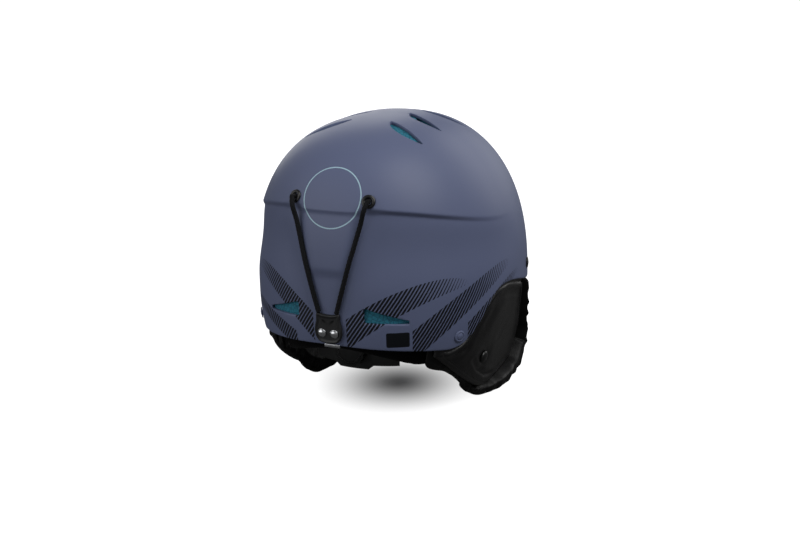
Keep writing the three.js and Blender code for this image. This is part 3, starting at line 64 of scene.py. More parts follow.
# Camera: the photograph's place, worked out from the shell's outline
viewValues = {
    "target": (0, 0, 80), "distance": 1099,
    "turn": 25.0,           # degrees from straight behind, towards the wearer's right
    "rise": 14.8, "roll": 1.7, "focal": 56.43, "sensor": 36, "shift": (0.0094, -0.0391), "nearest": 0.02,
}


def newObject(name, data):
    made = bpy.data.objects.new(name, data)
    bpy.context.scene.collection.objects.link(made)
    return made


def makeCamera():
    v = viewValues
    turn, rise = math.radians(v["turn"]), math.radians(v["rise"])
    back = Vector((-math.sin(turn) * math.cos(rise), math.cos(turn) * math.cos(rise), math.sin(rise)))
    right = Vector((-math.cos(turn), -math.sin(turn), 0))
    facing = Matrix((right, back.cross(right), back)).transposed()
    roll = Matrix.Rotation(math.radians(-v["roll"]), 3, "Z")
    place = Vector(toWorld(v["target"])) + back * v["distance"] * mm
    camera = newObject("camera", bpy.data.cameras.new("camera"))
    camera.matrix_world = Matrix.Translation(place) @ (facing @ roll).to_4x4()
    camera.data.lens, camera.data.sensor_width = v["focal"], v["sensor"]
    camera.data.shift_x, camera.data.shift_y = v["shift"]
    camera.data.clip_start = v["nearest"]
    bpy.context.scene.camera = camera


makeCamera()

# Form of the shell

shellForm = {"half": 112, "rear": 127.8, "front": 139.5, "top": 189}
formValues = {
    "belt": 42.2, "planPower": 2.228, "sidePower": 2.358, "rearPower": 3.094, "pinchShare": 0.043, "wall": 2.4,
}
# Turns are degrees from straight behind, to either side
rimValues = {
    "rear": 19.8, "corner": 11.9, "earCut": 51.9, "temple": 36, "brow": 49,
    "cornerTurn": 45.6, "earCutTurn": 81.2, "templeTurn": 125, "easePower": 1.5,
}
ledgeValues = {
    "rear": 130, "side": 106, "drop": (12, 95), "depth": 3.5, "fade": (25, 100),
    "band": (9, 5), "bandTurns": (12, 25),      # how softly it steps in, at the back and beyond
    "panelRise": 1.9,       # how far the panel between the cords stands proud of the recess
    "panelFoot": 80,
    "panelSlope": 0.262,    # how fast the panel widens with height, as the cords do
    "panelHalf": 15,
    "panelEase": 5,
    "scoop": 3,             # how much deeper the hollow under the ledge gets, on either side of the panel
    "scoopFoot": 56, "scoopReach": 26, "scoopPower": 0.8, "scoopFade": 0.5,
}


def ease(value, low, high):
    share = np.clip((value - low) / (high - low), 0, 1)
    return share * share * (3 - 2 * share)


def easeMore(value, low, high):
    share = np.clip((value - low) / (high - low), 0, 1)
    return share ** 3 * (share * (share * 6 - 15) + 10)


def mix(a, b, share):
    return a + (b - a) * share


def turnOf(bearing):
    return np.abs((np.asarray(bearing, float) + 180) % 360 - 180)


def rimHeight(bearing):
    v = rimValues
    turn = turnOf(bearing)
    rear = mix(v["rear"], v["corner"], np.clip(turn / v["cornerTurn"], 0, 1) ** v["easePower"])
    cutRise = mix(v["corner"], v["earCut"], easeMore(turn, v["cornerTurn"], v["earCutTurn"]))
    temple = mix(v["earCut"], v["temple"], ease(turn, v["earCutTurn"], v["templeTurn"]))
    brow = mix(v["temple"], v["brow"], ease(turn, v["templeTurn"], 180))
    return np.where(
        turn < v["cornerTurn"], rear,
        np.where(turn < v["earCutTurn"], cutRise, np.where(turn < v["templeTurn"], temple, brow)),
    )


def ledgeHeight(bearing):
    v = ledgeValues
    return mix(v["rear"], v["side"], ease(turnOf(bearing), *v["drop"]))


def recessAt(bearing, height, fine):
    v = ledgeValues
    turn, ledge = turnOf(bearing), ledgeHeight(bearing)
    strength = 1 - ease(turn, *v["fade"])
    half = mix(*v["band"], ease(turn, *v["bandTurns"])) / 2
    sunk = v["depth"] * strength * (1 - ease(height, ledge - half, ledge + half))
    across = turn * math.pi / 180 * shellForm["rear"]
    edge = v["panelHalf"] + v["panelSlope"] * (height - v["panelFoot"])
    run = np.clip((ledge - height) / (ledge - v["scoopFoot"]), 0, 1)
    hollow = np.sin(math.pi * run ** v["scoopPower"]) ** 2 * strength ** v["scoopFade"]
    sunk = sunk + v["scoop"] * hollow * ease(across, edge, edge + v["scoopReach"])
    if not fine:
        return sunk
    inPanel = 1 - ease(across, edge - v["panelEase"], edge + v["panelEase"])
    above = ease(height, v["panelFoot"] - v["panelEase"], v["panelFoot"] + v["panelEase"])
    return sunk - np.minimum(v["panelRise"], sunk) * inPanel * above


def within(form, depth):
    return {key: value - depth for key, value in form.items()}


def powerAt(bearing):
    v = formValues
    return mix(v["sidePower"], v["rearPower"], np.clip(np.cos(np.radians(bearing)), 0, None) ** 2)


def planRadius(form, bearing):
    power = formValues["planPower"]
    cosine = np.cos(np.radians(bearing))
    across = np.abs(np.sin(np.radians(bearing))) / form["half"]
    along = np.abs(cosine) / np.where(cosine > 0, form["rear"], form["front"])
    return (across ** power + along ** power) ** (-1 / power)


def formRadius(form, bearing, height, recessed=True, fine=True):
    v = formValues
    belt = v["belt"]
    power = powerAt(bearing)
    rise = np.clip((height - belt) / (form["top"] - belt), 0, 1)
    upper = (1 - rise ** power) ** (1 / power)
    lower = 1 - v["pinchShare"] * (np.clip(belt - height, 0, None) / belt) ** 2
    radius = planRadius(form, bearing) * np.where(height < belt, lower, upper)
    return radius - recessAt(bearing, height, fine) if recessed else radius


def aimed(bearing, radius, height):
    turn = np.radians(bearing)
    return np.stack([-np.sin(turn) * radius, np.cos(turn) * radius, height + 0 * radius], -1)


def formPoint(form, bearing, height, fine=True):
    bearing, height = np.asarray(bearing, float), np.asarray(height, float)
    return aimed(bearing, formRadius(form, bearing, height, True, fine), height)


def unit(vectors):
    return vectors / np.linalg.norm(vectors, axis=-1, keepdims=True)


def formNormal(form, bearing, height, step=0.5):
    around, up = (
        formPoint(form, bearing + a, height + b, False) - formPoint(form, bearing - a, height - b, False)
        for a, b in ((step, 0), (0, step))
    )
    return unit(np.cross(around, up))


# The bearing at which the shell's outside is this far across
def faceBearing(across, height):
    bearing = np.zeros(np.broadcast(across, height).shape)
    for _ in range(8):
        radius = formRadius(shellForm, bearing, height, True, False)
        bearing = -np.degrees(np.arcsin(np.clip(across / radius, -1, 1)))
    return bearing


# The level of a form straight above a point
def crownLevel(form, x, y):
    bearing = np.degrees(np.arctan2(-x, y))
    share = np.clip(np.hypot(x, y) / planRadius(form, bearing), 0, 1)
    power = powerAt(bearing)
    return formValues["belt"] + (form["top"] - formValues["belt"]) * (1 - share ** power) ** (1 / power)


# Mesh helpers

mergeReach = 2e-6           # metres within which doubled points of a CAD mesh are one
flatAngle = 1.5             # degrees below which its neighbouring triangles are one face
turnSteps = 48


def newPiece(name, points, faces):
    mesh = bpy.data.meshes.new(name)
    mesh.from_pydata([tuple(p) for p in toWorld(points)], [], [tuple(int(i) for i in f) for f in faces])
    mesh.update()
    return newObject(name, mesh)


# Changes a piece's mesh in place
def edited(piece, *changes):
    shape = bmesh.new()
    shape.from_mesh(piece.data)
    for change in changes:
        change(shape)
    shape.to_mesh(piece.data)
    shape.free()
    return piece


def merge(shape):
    bmesh.ops.remove_doubles(shape, verts=shape.verts, dist=mergeReach)


# Moves a mesh's points out along their normals, by a reach in millimetres
def grow(shape, reach=0):
    shape.normal_update()
    for vert in shape.verts:
        vert.co += vert.normal * reach * mm


def outward(piece):
    return edited(piece, lambda shape: bmesh.ops.recalc_face_normals(shape, faces=shape.faces))


def bake(piece):
    graph = bpy.context.evaluated_depsgraph_get()
    mesh = bpy.data.meshes.new_from_object(piece.evaluated_get(graph))
    piece.modifiers.clear()
    piece.data = mesh
    mesh.name = piece.name
    return piece


def shade(piece, angle=40):
    mesh = piece.data
    mesh.polygons.foreach_set("use_smooth", [True] * len(mesh.polygons))
    mesh.set_sharp_from_angle(angle=math.radians(angle))
    return piece


# A closed body from rows of points, with a single point at either end: the row's middle where none is given
def closedRows(name, rows, start=None, end=None):
    rows = np.asarray(rows, float)
    count, columns = rows.shape[:2]
    last = count * columns
    ends = [rows[0].mean(0) if start is None else start, rows[-1].mean(0) if end is None else end]
    pairs = [(j, (j + 1) % columns) for j in range(columns)]
    faces = [
        (i + j, i + columns + j, i + columns + k, i + k) for i in range(0, last - columns, columns) for j, k in pairs
    ]
    for j, k in pairs:
        faces += [(last, j, k), (last + 1, last - columns + k, last - columns + j)]
    return outward(newPiece(name, [*rows.reshape(-1, 3), *ends], faces))


# The points of a profile, of radius and height, at each step of a turn about its seat's normal
def turnRows(profile, seat):
    point, normal = seat
    turn = Vector((0, 0, 1)).rotation_difference(Vector(normal)).to_matrix()
    angles = [2 * math.pi * k / turnSteps for k in range(turnSteps)]
    return np.array([
        [np.array(point) + np.array(turn @ Vector((r * math.cos(a), r * math.sin(a), h))) for r, h in profile]
        for a in angles
    ])


def turned(name, profile, seat):
    return shade(closedRows(name, turnRows(rounded(profile), seat).swapaxes(0, 1)))


# A ring, from a closed profile
def spun(name, loop, seat):
    count = len(loop)
    faces = []
    for k in range(turnSteps):
        first, second = k * count, (k + 1) % turnSteps * count
        for i, j in ((i, (i + 1) % count) for i in range(count)):
            faces.append((first + i, first + j, second + j, second + i))
    return shade(outward(newPiece(name, turnRows(loop, seat).reshape(-1, 3), faces)), 45)


# Rounds a profile's corners, each by its own radius, given as the third value
def rounded(profile, steps=4):
    points = []
    for i, corner in enumerate(profile):
        if len(corner) < 3:
            points.append(corner)
            continue
        at = Vector(corner[:2])
        before, after = (Vector(profile[k][:2]) - at for k in (i - 1, i + 1))
        reach = min(corner[2], before.length * 0.49, after.length * 0.49)
        first, last = at + before.normalized() * reach, at + after.normalized() * reach
        for k in range(steps + 1):
            t = k / steps
            points.append(tuple(first * (1 - t) ** 2 + at * (2 * t * (1 - t)) + last * t * t))
    return points


# A new object with the shape of a CAD node
def ownShape(node, suffix="_fine"):
    return newObject(node + suffix, frame["nodes"][node].data.copy())


def dress(piece, material, node, body="helmet"):
    piece.data.materials.clear()
    piece.data.materials.append(material)
    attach(piece, body)
    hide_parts(node)
    return piece


# A CAD node's own shape with merged points, rounded edges and smooth shading
def refined(node, material, bevel, body="helmet", angle=38):
    piece = ownShape(node)
    edited(piece, merge, lambda shape: bmesh.ops.dissolve_limit(
        shape, angle_limit=math.radians(flatAngle), verts=shape.verts, edges=shape.edges,
    ))
    if bevel:
        edge = piece.modifiers.new("edges", "BEVEL")
        edge.width, edge.segments = bevel * mm, 2
        edge.limit_method, edge.angle_limit = "ANGLE", math.radians(angle)
        edge.use_clamp_overlap = True
        bake(piece)
    return dress(shade(piece, angle), material, node, body)


# Materials

def colour(code):
    parts = [int(code[i:i + 2], 16) / 255 for i in (1, 3, 5)]
    return tuple(p / 12.92 if p <= 0.04045 else ((p + 0.055) / 1.055) ** 2.4 for p in parts) + (1,)


# Adds a node. Its inputs come in order, or as one dict: a socket is linked, anything else is set. A colon may set
# the operation off from the kind, and a kind of shader node goes by its short name
def addNode(tree, kind, *inputs, **settings):
    kind, _, operation = kind.partition(":")
    node = tree.nodes.new(kind if "Node" in kind else "ShaderNode" + kind)
    if operation:
        node.operation = operation
    for key, value in settings.items():
        setattr(node, key, value)
    given = inputs[0] if inputs and isinstance(inputs[0], dict) else dict(enumerate(inputs))
    for key, value in given.items():
        if isinstance(value, bpy.types.NodeSocket):
            tree.links.new(value, node.inputs[key])
        else:
            node.inputs[key].default_value = value
    return node


# The same, for the new node's first output
def put(tree, *given, **settings):
    return addNode(tree, *given, **settings).outputs[0]


def newMaterial(name, base, roughness, **sockets):
    material = bpy.data.materials.new(name)
    material.use_nodes = True
    tree = material.node_tree
    shader = tree.nodes["Principled BSDF"]
    shader.inputs["Base Color"].default_value = colour(base)
    shader.inputs["Roughness"].default_value = roughness
    for key, value in sockets.items():
        shader.inputs[key.replace("_", " ")].default_value = value
    return material, tree, shader.inputs, addNode(tree, "TexCoord").outputs


def raised(tree, shader, height, depth, **below):
    bump = put(tree, "Bump", {"Height": height, "Distance": depth * mm, "Strength": 1, **below})
    tree.links.new(bump, shader["Normal"])
    return bump


def blended(tree, shader, factor, low, high):
    low, high = (colour(c) if isinstance(c, str) else c for c in (low, high))
    result = addNode(tree, "Mix", {0: factor, 6: low, 7: high}, data_type="RGBA").outputs[2]
    tree.links.new(result, shader["Base Color"])
    return result


# A material that one texture tints and raises: the texture's kind and inputs, the two colours, the depth in
# millimetres and the part of the texture's range that counts
def textured(name, base, rough, kind, inputs, tints, depth=0, span=None, feature=None, **sockets):
    material, tree, shader, where = newMaterial(name, base, rough, **sockets)
    settings = {"feature": feature} if feature else {}
    grain = put(tree, "Tex" + kind, {"Vector": where["Object"], **inputs}, **settings)
    if span:
        grain = put(tree, "MapRange", {0: grain, 1: span[0], 2: span[1]})
    blended(tree, shader, grain, *tints)
    if depth:
        raised(tree, shader, grain, depth)
    return material


# The shell's printed pattern: swept tapering bands of slanting strokes, a thin ring and a plain dark label
printValues = {
    # start and end round the shell, height at either, half width, arch
    "bands": (
        (15, 124, 30, 66, 13, 12), (70, 186, 20, 70, 13, 9), (122, 204, 24, 58, 8, 5),
        (-15, -100, 34, 72, 12, 11), (-34, -122, 19, 42, 8, 5),
    ),
    "pitch": 3.3, "slant": 0.72, "duty": 0.66, "ink": "#030408",
    "ringPlace": (-1.3, 140.2), "ringRadius": 24.6, "ringLine": 0.45, "ringInk": "#a9c8d6",
    "labelFrom": (48.2, 20), "labelTo": (67.6, 32.6), "labelCorner": 14.0, "labelInk": "#080c12",
}
uvScale = 100               # millimetres for one unit of the shell's UV map


# The ring's centre, and the axes of the plane that it lies in and is seen square to
def ringFrame():
    across, height = printValues["ringPlace"]
    bearing = float(faceBearing(across, height))
    normal = formNormal(shellForm, bearing, height)
    aside = np.cross(normal, (0, 0, 1))
    aside /= np.linalg.norm(aside)
    return toWorld(formPoint(shellForm, bearing, height)), aside, np.cross(aside, normal), normal


# Moulded ABS under a soft matt coat: broad, dim highlights and a faint orange peel
def makeShellCoat(name, printed):
    material, tree, shader, where = newMaterial(name, "#626a84", 0.46, IOR=1.5, Specular_IOR_Level=0.28)
    cloud = put(tree, "TexNoise", {"Vector": where["Object"], "Scale": 9, "Detail": 2})
    peel = put(tree, "TexNoise", {"Vector": where["Object"], "Scale": 900, "Detail": 3})
    raised(tree, shader, peel, 0.02)
    base = blended(tree, shader, cloud, "#5b6380", "#676f8c")
    if not printed:
        return material
    v = printValues
    flat = addNode(tree, "SeparateXYZ", where["UV"]).outputs
    across, height = (put(tree, "Math:MULTIPLY", flat[k], uvScale) for k in (0, 1))
    slid = put(tree, "Math:MULTIPLY_ADD", height, -v["slant"], across)
    phase = put(tree, "Math:FRACT", put(tree, "Math:DIVIDE", slid, v["pitch"]))
    strokes = 0.0
    for start, end, low, high, half, arch in v["bands"]:
        share = put(tree, "Math:DIVIDE", put(tree, "Math:SUBTRACT", across, start), end - start)
        rest = put(tree, "Math:SUBTRACT", 1.0, share)
        bow = put(tree, "Math:MULTIPLY", put(tree, "Math:MULTIPLY", share, rest), 4 * arch)
        middle = put(tree, "Math:ADD", put(tree, "Math:MULTIPLY_ADD", share, high - low, low), bow)
        taper = put(tree, "Math:MULTIPLY", put(tree, "Math:SQRT", put(tree, "Math:MAXIMUM", rest, 0.0)), half)
        off = put(tree, "Math:ABSOLUTE", put(tree, "Math:SUBTRACT", height, middle))
        hit = put(tree, "Math:LESS_THAN", off, taper)
        for limit in ("GREATER_THAN", 0.0), ("LESS_THAN", 1.0):
            hit = put(tree, "Math:MULTIPLY", hit, put(tree, "Math:" + limit[0], share, limit[1]))
        fading = put(tree, "Math:POWER", put(tree, "Math:MAXIMUM", share, 0.0), 3.0)
        thin = put(tree, "Math:MULTIPLY", put(tree, "Math:SUBTRACT", 1.0, fading), v["duty"])
        stroke = put(tree, "Math:MULTIPLY", hit, put(tree, "Math:LESS_THAN", phase, thin))
        strokes = put(tree, "Math:MAXIMUM", strokes, stroke)
    dark = blended(tree, shader, strokes, base, v["ink"])
    centre, *axes = ringFrame()
    offset = put(tree, "VectorMath:SUBTRACT", where["Object"], centre)
    x, y, z = (addNode(tree, "VectorMath:DOT_PRODUCT", offset, axis).outputs["Value"] for axis in axes)
    squares = put(tree, "Math:ADD", put(tree, "Math:MULTIPLY", x, x), put(tree, "Math:MULTIPLY", y, y))
    away = put(tree, "Math:SQRT", squares)
    off = put(tree, "Math:ABSOLUTE", put(tree, "Math:SUBTRACT", away, v["ringRadius"] * mm))
    behind = put(tree, "Math:GREATER_THAN", z, -v["ringRadius"] * mm)
    ring = put(tree, "Math:MULTIPLY", put(tree, "Math:LESS_THAN", off, v["ringLine"] * mm), behind)
    lined = blended(tree, shader, ring, dark, v["ringInk"])
    reach = 0.0
    for place, low, high in zip((across, height), v["labelFrom"], v["labelTo"]):
        off = put(tree, "Math:ABSOLUTE", put(tree, "Math:SUBTRACT", place, (low + high) / 2))
        share = put(tree, "Math:DIVIDE", off, (high - low) / 2)
        reach = put(tree, "Math:ADD", reach, put(tree, "Math:POWER", share, v["labelCorner"]))
    blended(tree, shader, put(tree, "Math:LESS_THAN", reach, 1.0), lined, v["labelInk"])
    return material


# PU leatherette over thin foam: pebbled grain about a millimetre across, and a painted sheen: the colour is lighter
# on the high places of its broad relief
def makeLeatherette(name, base, light, rough, specular):
    material, tree, shader, where = newMaterial(name, base, rough, IOR=1.48, Specular_IOR_Level=specular)
    pebble = {"Vector": where["Object"], "Scale": 950}
    valley = put(tree, "MapRange", {0: put(tree, "TexVoronoi", pebble, feature="DISTANCE_TO_EDGE"), 1: 0.0, 2: 0.22})
    cloud = put(tree, "TexNoise", {"Vector": where["Object"], "Scale": 45, "Detail": 4})
    # painted sheen: the cloud that raises the surface also lightens its colour on the high places
    blended(tree, shader, cloud, base, light)
    raised(tree, shader, valley, 0.035, Normal=raised(tree, shader, cloud, 0.2))
    return material


# Braided polyester sheath over rubber: the strand attribute that the cord's own mesh carries darkens its joints
def makeBraid():
    material, tree, shader, where = newMaterial(
        "braided_elastic", "#030408", 0.75, Sheen_Weight=0.05, Specular_IOR_Level=0.2,
    )
    strand = addNode(tree, "Attribute", attribute_name="strand").outputs["Fac"]
    blended(tree, shader, strand, "#010203", "#090b11")
    raised(tree, shader, put(tree, "TexNoise", {"Vector": where["Object"], "Scale": 2500, "Detail": 2}), 0.04)
    return material


# Polyester webbing: plain weave with a rib across it every 1.4 mm
def makeWebbing():
    material, tree, shader, where = newMaterial(
        "woven_webbing", "#0e0e11", 0.78, Sheen_Weight=0.1, Specular_IOR_Level=0.2,
    )
    waves = [
        addNode(tree, "TexWave", {"Vector": where["UV"], "Scale": scale}, bands_direction=way).outputs["Fac"]
        for way, scale in (("X", 0.22), ("Y", 0.3))
    ]
    weave = put(tree, "Math:MULTIPLY", *waves)
    blended(tree, shader, weave, "#050506", "#141518")
    raised(tree, shader, weave, 0.3)
    return material


# Nickel plate on brass: bright, with faint polishing haze
def makeNickel():
    material, tree, shader, where = newMaterial("nickel_plate", "#cfd1d4", 0.16, Metallic=1)
    haze = put(tree, "TexNoise", {"Vector": where["Object"], "Scale": 500, "Detail": 3})
    tree.links.new(put(tree, "MapRange", {0: haze, 3: 0.12, 4: 0.24}), shader["Roughness"])
    return material


shellCoat = makeShellCoat("matt_abs_shell", True)
rivetCoat = makeShellCoat("matt_abs_rivet", False)
leatherette = makeLeatherette("leatherette", "#050506", "#0a0a0b", 0.33, 0.5)
liningCloth = makeLeatherette("soft_lining_cloth", "#040405", "#09090a", 0.5, 0.25)
tabRubber = makeLeatherette("moulded_rubber_tab", "#101113", "#17181a", 0.5, 0.5)
braid = makeBraid()
webbing = makeWebbing()
nickel = makeNickel()
# Expanded polystyrene, moulded in colour: pressed beads three millimetres across with fine dark joints
foam = textured(
    "expanded_foam", "#2b87a8", 0.82, "Voronoi", {"Scale": 300}, ("#144f63", "#27788f"), 0.12, (0.0, 0.12),
    "DISTANCE_TO_EDGE",
)
# Polyester fleece: no gloss, a soft bloom at the edges from its raised fibres
fleece = textured(
    "polyester_fleece", "#030304", 0.95, "Noise", {"Scale": 1100, "Detail": 4}, ("#010102", "#070708"), 0.5,
    Sheen_Weight=0.02, Sheen_Roughness=0.5, Specular_IOR_Level=0.1,
)
# Knitted spacer mesh: rows of small round openings, drawn at 2.4 mm so that they show
spacerMesh = textured(
    "spacer_mesh", "#121316", 0.9, "Voronoi", {"Scale": 420, "Randomness": 0.15}, ("#050506", "#1e2024"), 0.4,
    (0.2, 0.5), Sheen_Weight=0.1, Sheen_Roughness=0.6, Specular_IOR_Level=0.2,
)
# Glass-filled nylon from a spark-eroded mould: even and slightly dusty. Acetal from a polished one: smoother
nylon, acetal = (
    textured(name, base, rough, "Noise", {"Scale": 1600, "Detail": 2}, (base, light), 0.03, IOR=1.53)
    for name, base, rough, light in (
        ("moulded_nylon", "#08090a", 0.5, "#0f1011"), ("smooth_acetal", "#090a0b", 0.3, "#0e0f10"),
    )
)
# Bonded nylon thread: random lighter flecks along each stitch, painted glints of its twisted plies
thread = textured(
    "bonded_thread", "#1b1c1f", 0.5, "Noise", {"Scale": 2200, "Detail": 1}, ("#131416", "#27282c"),
    Specular_IOR_Level=0.4,
)
# Zinc-plated steel: satin, a little uneven
zinc = textured(
    "zinc_plate", "#b4b6ba", 0.34, "Noise", {"Scale": 700, "Detail": 4}, ("#a3a5a9", "#c0c2c6"), Metallic=1,
)
print("materials made")

# Geometry Nodes: trees with named inputs for what repeats or follows a path

def newTree(name, sizes):
    tree = bpy.data.node_groups.new(name, "GeometryNodeTree")
    for label, kind in (("Geometry", "Geometry"), *((label, "Float") for label in sizes), ("Material", "Material")):
        tree.interface.new_socket(label, in_out="INPUT", socket_type="NodeSocket" + kind)
    tree.interface.new_socket("Geometry", in_out="OUTPUT", socket_type="NodeSocketGeometry")
    return tree, addNode(tree, "NodeGroupInput").outputs


def endTree(tree, geometry, material):
    smooth = put(tree, "GeometryNodeSetShadeSmooth", {"Geometry": geometry})
    solid = put(tree, "GeometryNodeRealizeInstances", {"Geometry": smooth})
    coated = put(tree, "GeometryNodeSetMaterial", {"Geometry": solid, "Material": material})
    addNode(tree, "NodeGroupOutput", {"Geometry": coated})
    return tree


def pathOf(tree, given, step):
    line = put(tree, "GeometryNodeMeshToCurve", {"Mesh": given["Geometry"]})
    return put(tree, "GeometryNodeResampleCurve", {"Curve": line, "Length": given[step]}, mode="LENGTH")


# Small rounded bars along a path: stitches, and the ribs of the dial's grip
def barTree():
    tree, given = newTree("barsAlongPath", ("Pitch", "Length", "Width", "Height", "Lift"))
    face, along = (
        put(tree, "GeometryNodeInputNamedAttribute", {"Name": name}, data_type="FLOAT_VECTOR")
        for name in ("face", "along")
    )
    offset = put(tree, "VectorMath:SCALE", {0: face, "Scale": given["Lift"]})
    placed = put(tree, "GeometryNodeSetPosition", {"Geometry": pathOf(tree, given, "Pitch"), "Offset": offset})
    ahead = put(tree, "FunctionNodeAlignRotationToVector", {"Vector": along}, axis="X")
    upright = {"Rotation": ahead, "Vector": face}
    upright = put(tree, "FunctionNodeAlignRotationToVector", upright, axis="Z", pivot_axis="X")
    ball = put(tree, "GeometryNodeMeshUVSphere", {"Segments": 8, "Rings": 5, "Radius": 0.5})
    size = put(tree, "CombineXYZ", given["Length"], given["Width"], given["Height"])
    bar = put(tree, "GeometryNodeTransform", {"Geometry": ball, "Scale": size})
    many = {"Points": placed, "Instance": bar, "Rotation": upright}
    return endTree(tree, put(tree, "GeometryNodeInstanceOnPoints", many), given["Material"])


# A round cord along a path, with two sets of strands that cross each other
def cordTree():
    tree, given = newTree("braidedCord", ("Radius", "Step", "Sides", "Strands", "Braid Pitch", "Relief"))
    circle = put(tree, "GeometryNodeCurvePrimitiveCircle", {"Resolution": given["Sides"], "Radius": given["Radius"]})
    kept = []
    for label, curve, source in ("run", pathOf(tree, given, "Step"), "Length"), ("turn", circle, "Factor"):
        keep = tree.nodes.new("GeometryNodeCaptureAttribute")
        keep.capture_items.new("FLOAT", label)
        tree.links.new(curve, keep.inputs["Geometry"])
        tree.links.new(addNode(tree, "GeometryNodeSplineParameter").outputs[source], keep.inputs[label])
        kept.append(keep.outputs)
    run, turn = kept
    tube = {"Curve": run["Geometry"], "Profile Curve": turn["Geometry"], "Fill Caps": True}
    around = put(tree, "Math:MULTIPLY", turn["turn"], given["Strands"])
    down = put(tree, "Math:DIVIDE", run["run"], given["Braid Pitch"])
    around, down = (put(tree, "Math:MULTIPLY", value, 2 * math.pi) for value in (around, down))
    strand = 0.0
    for way in "ADD", "SUBTRACT":
        strand = put(tree, "Math:MAXIMUM", strand, put(tree, "Math:SINE", put(tree, "Math:" + way, around, down)))
    lift = {0: put(tree, "GeometryNodeInputNormal"), "Scale": put(tree, "Math:MULTIPLY", strand, given["Relief"])}
    shaped = {"Geometry": put(tree, "GeometryNodeCurveToMesh", tube), "Offset": put(tree, "VectorMath:SCALE", lift)}
    marked = put(
        tree, "GeometryNodeStoreNamedAttribute",
        {"Geometry": put(tree, "GeometryNodeSetPosition", shaped), "Name": "strand", "Value": strand},
        data_type="FLOAT", domain="POINT",
    )
    return endTree(tree, marked, given["Material"])


# Runs a tree on a line of points and leaves a plain mesh
def grown(name, tree, line, values, material, extras=None, closed=False):
    mesh = bpy.data.meshes.new(name)
    count = len(line)
    edges = [(k, (k + 1) % count) for k in range(count if closed else count - 1)]
    mesh.from_pydata([tuple(p) for p in line], edges, [])
    for key, vectors in (extras or {}).items():
        layer = mesh.attributes.new(key, "FLOAT_VECTOR", "POINT")
        layer.data.foreach_set("vector", np.asarray(vectors, float).ravel())
    piece = newObject(name, mesh)
    modifier = piece.modifiers.new(tree.name, "NODES")
    modifier.node_group = tree
    values = {**values, "Material": material}
    for item in tree.interface.items_tree:
        if item.in_out == "INPUT" and item.name in values:
            modifier[item.identifier] = values[item.name]
    return bake(piece)


bars, cordBraid = barTree(), cordTree()
stitchValues = {"pitch": 3.4, "length": 2.5, "width": 0.55, "height": 0.5, "lift": 0.05}


def barSizes(values):
    return {key.capitalize(): values[key] * mm for key in ("pitch", "length", "width", "height", "lift")}


# A row of stitches laid on a finished piece, near a line of points in millimetres
def stitchRow(name, piece, points):
    nearest = [piece.closest_point_on_mesh(Vector(point)) for point in toWorld(points)]
    line, faces = (np.array([np.array(found[k]) for found in nearest]) for k in (1, 2))
    ahead = np.gradient(line, axis=0)
    ahead /= np.linalg.norm(ahead, axis=1, keepdims=True) + 1e-12
    row = grown(name, bars, line, barSizes(stitchValues), thread, {"face": faces, "along": ahead})
    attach(row, "helmet")


# The way round the shell's plan at its belt, as a length for every bearing
arcBearings = np.linspace(-180, 180, 721)
arcPoints = aimed(arcBearings, planRadius(shellForm, arcBearings), np.zeros(arcBearings.shape))
arcLengths = np.concatenate([[0], np.cumsum(np.linalg.norm(np.diff(arcPoints, axis=0), axis=1))])
arcLengths = arcLengths - arcLengths[len(arcLengths) // 2]


def readAll(items, key, width=1, kind=float):
    values = np.zeros(len(items) * width, kind)
    items.foreach_get(key, values)
    return values.reshape(-1, width) if width > 1 else values


def mapPrint(piece):
    mesh = piece.data
    layer = mesh.uv_layers.new(name="print")
    places = (readAll(mesh.vertices, "co", 3) - datum) / mm
    corners, firsts, counts = (
        readAll(items, key, kind=int)
        for items, key in ((mesh.loops, "vertex_index"), (mesh.polygons, "loop_start"), (mesh.polygons, "loop_total"))
    )
    around = np.interp(np.degrees(np.arctan2(-places[:, 0], places[:, 1])), arcBearings, arcLengths)[corners]
    spread = np.repeat(np.maximum.reduceat(around, firsts) - np.minimum.reduceat(around, firsts), counts)
    # a face that spans the join at the front is mapped on from its far side, not back over the whole print
    onward = np.where((spread > arcLengths[-1]) & (around < 0), arcLengths[-1] - arcLengths[0], 0)
    layer.data.foreach_set("uv", (np.stack([around + onward, places[corners, 2]], 1) / uvScale).ravel())


# Shell: outside and inside skins that meet in a rounded rim, with vents and windows cut through

shellValues = {
    "columns": 440, "rows": 142, "innerRows": 30, "lipSteps": 5, "crowding": 1.6, "crowdReach": 5,
    "measured": (480, 120),     # places at which the form is measured, above the belt and below
}
ventValues = {
    "length": 42, "width": 10.5, "pitch": 39, "inset": 36, "rearPlace": 43, "turns": (27, 27, -8),
    "channelShare": 0.62, "channelShift": 4,
    # how far the cut's edge lies outside the opening, at each level from the shell's face
    "edge": ((1.4, 3), (0.55, 0.02), (0.28, -0.13), (0.08, -0.4), (0, -0.8), (0, -7)),
    # its outer line's start, pull and end, as shares of the half length and the width
    "bends": (((-1, 0), (-0.5, 1.25), (0.25, 1)), ((0.25, 1), (0.7, 0.75), (1, 0))),
    "sag": 0.02, "bendSteps": 14, "backSteps": 20,
}
windowValues = {
    "inner": 29, "outer": 62, "sill": 40.6, "tall": 12.6, "tipTall": 3,
    "edge": ((1.5, 3), (0.5, 0.02), (0.26, -0.13), (0.07, -0.38), (0, -0.75), (0, -6)),
}


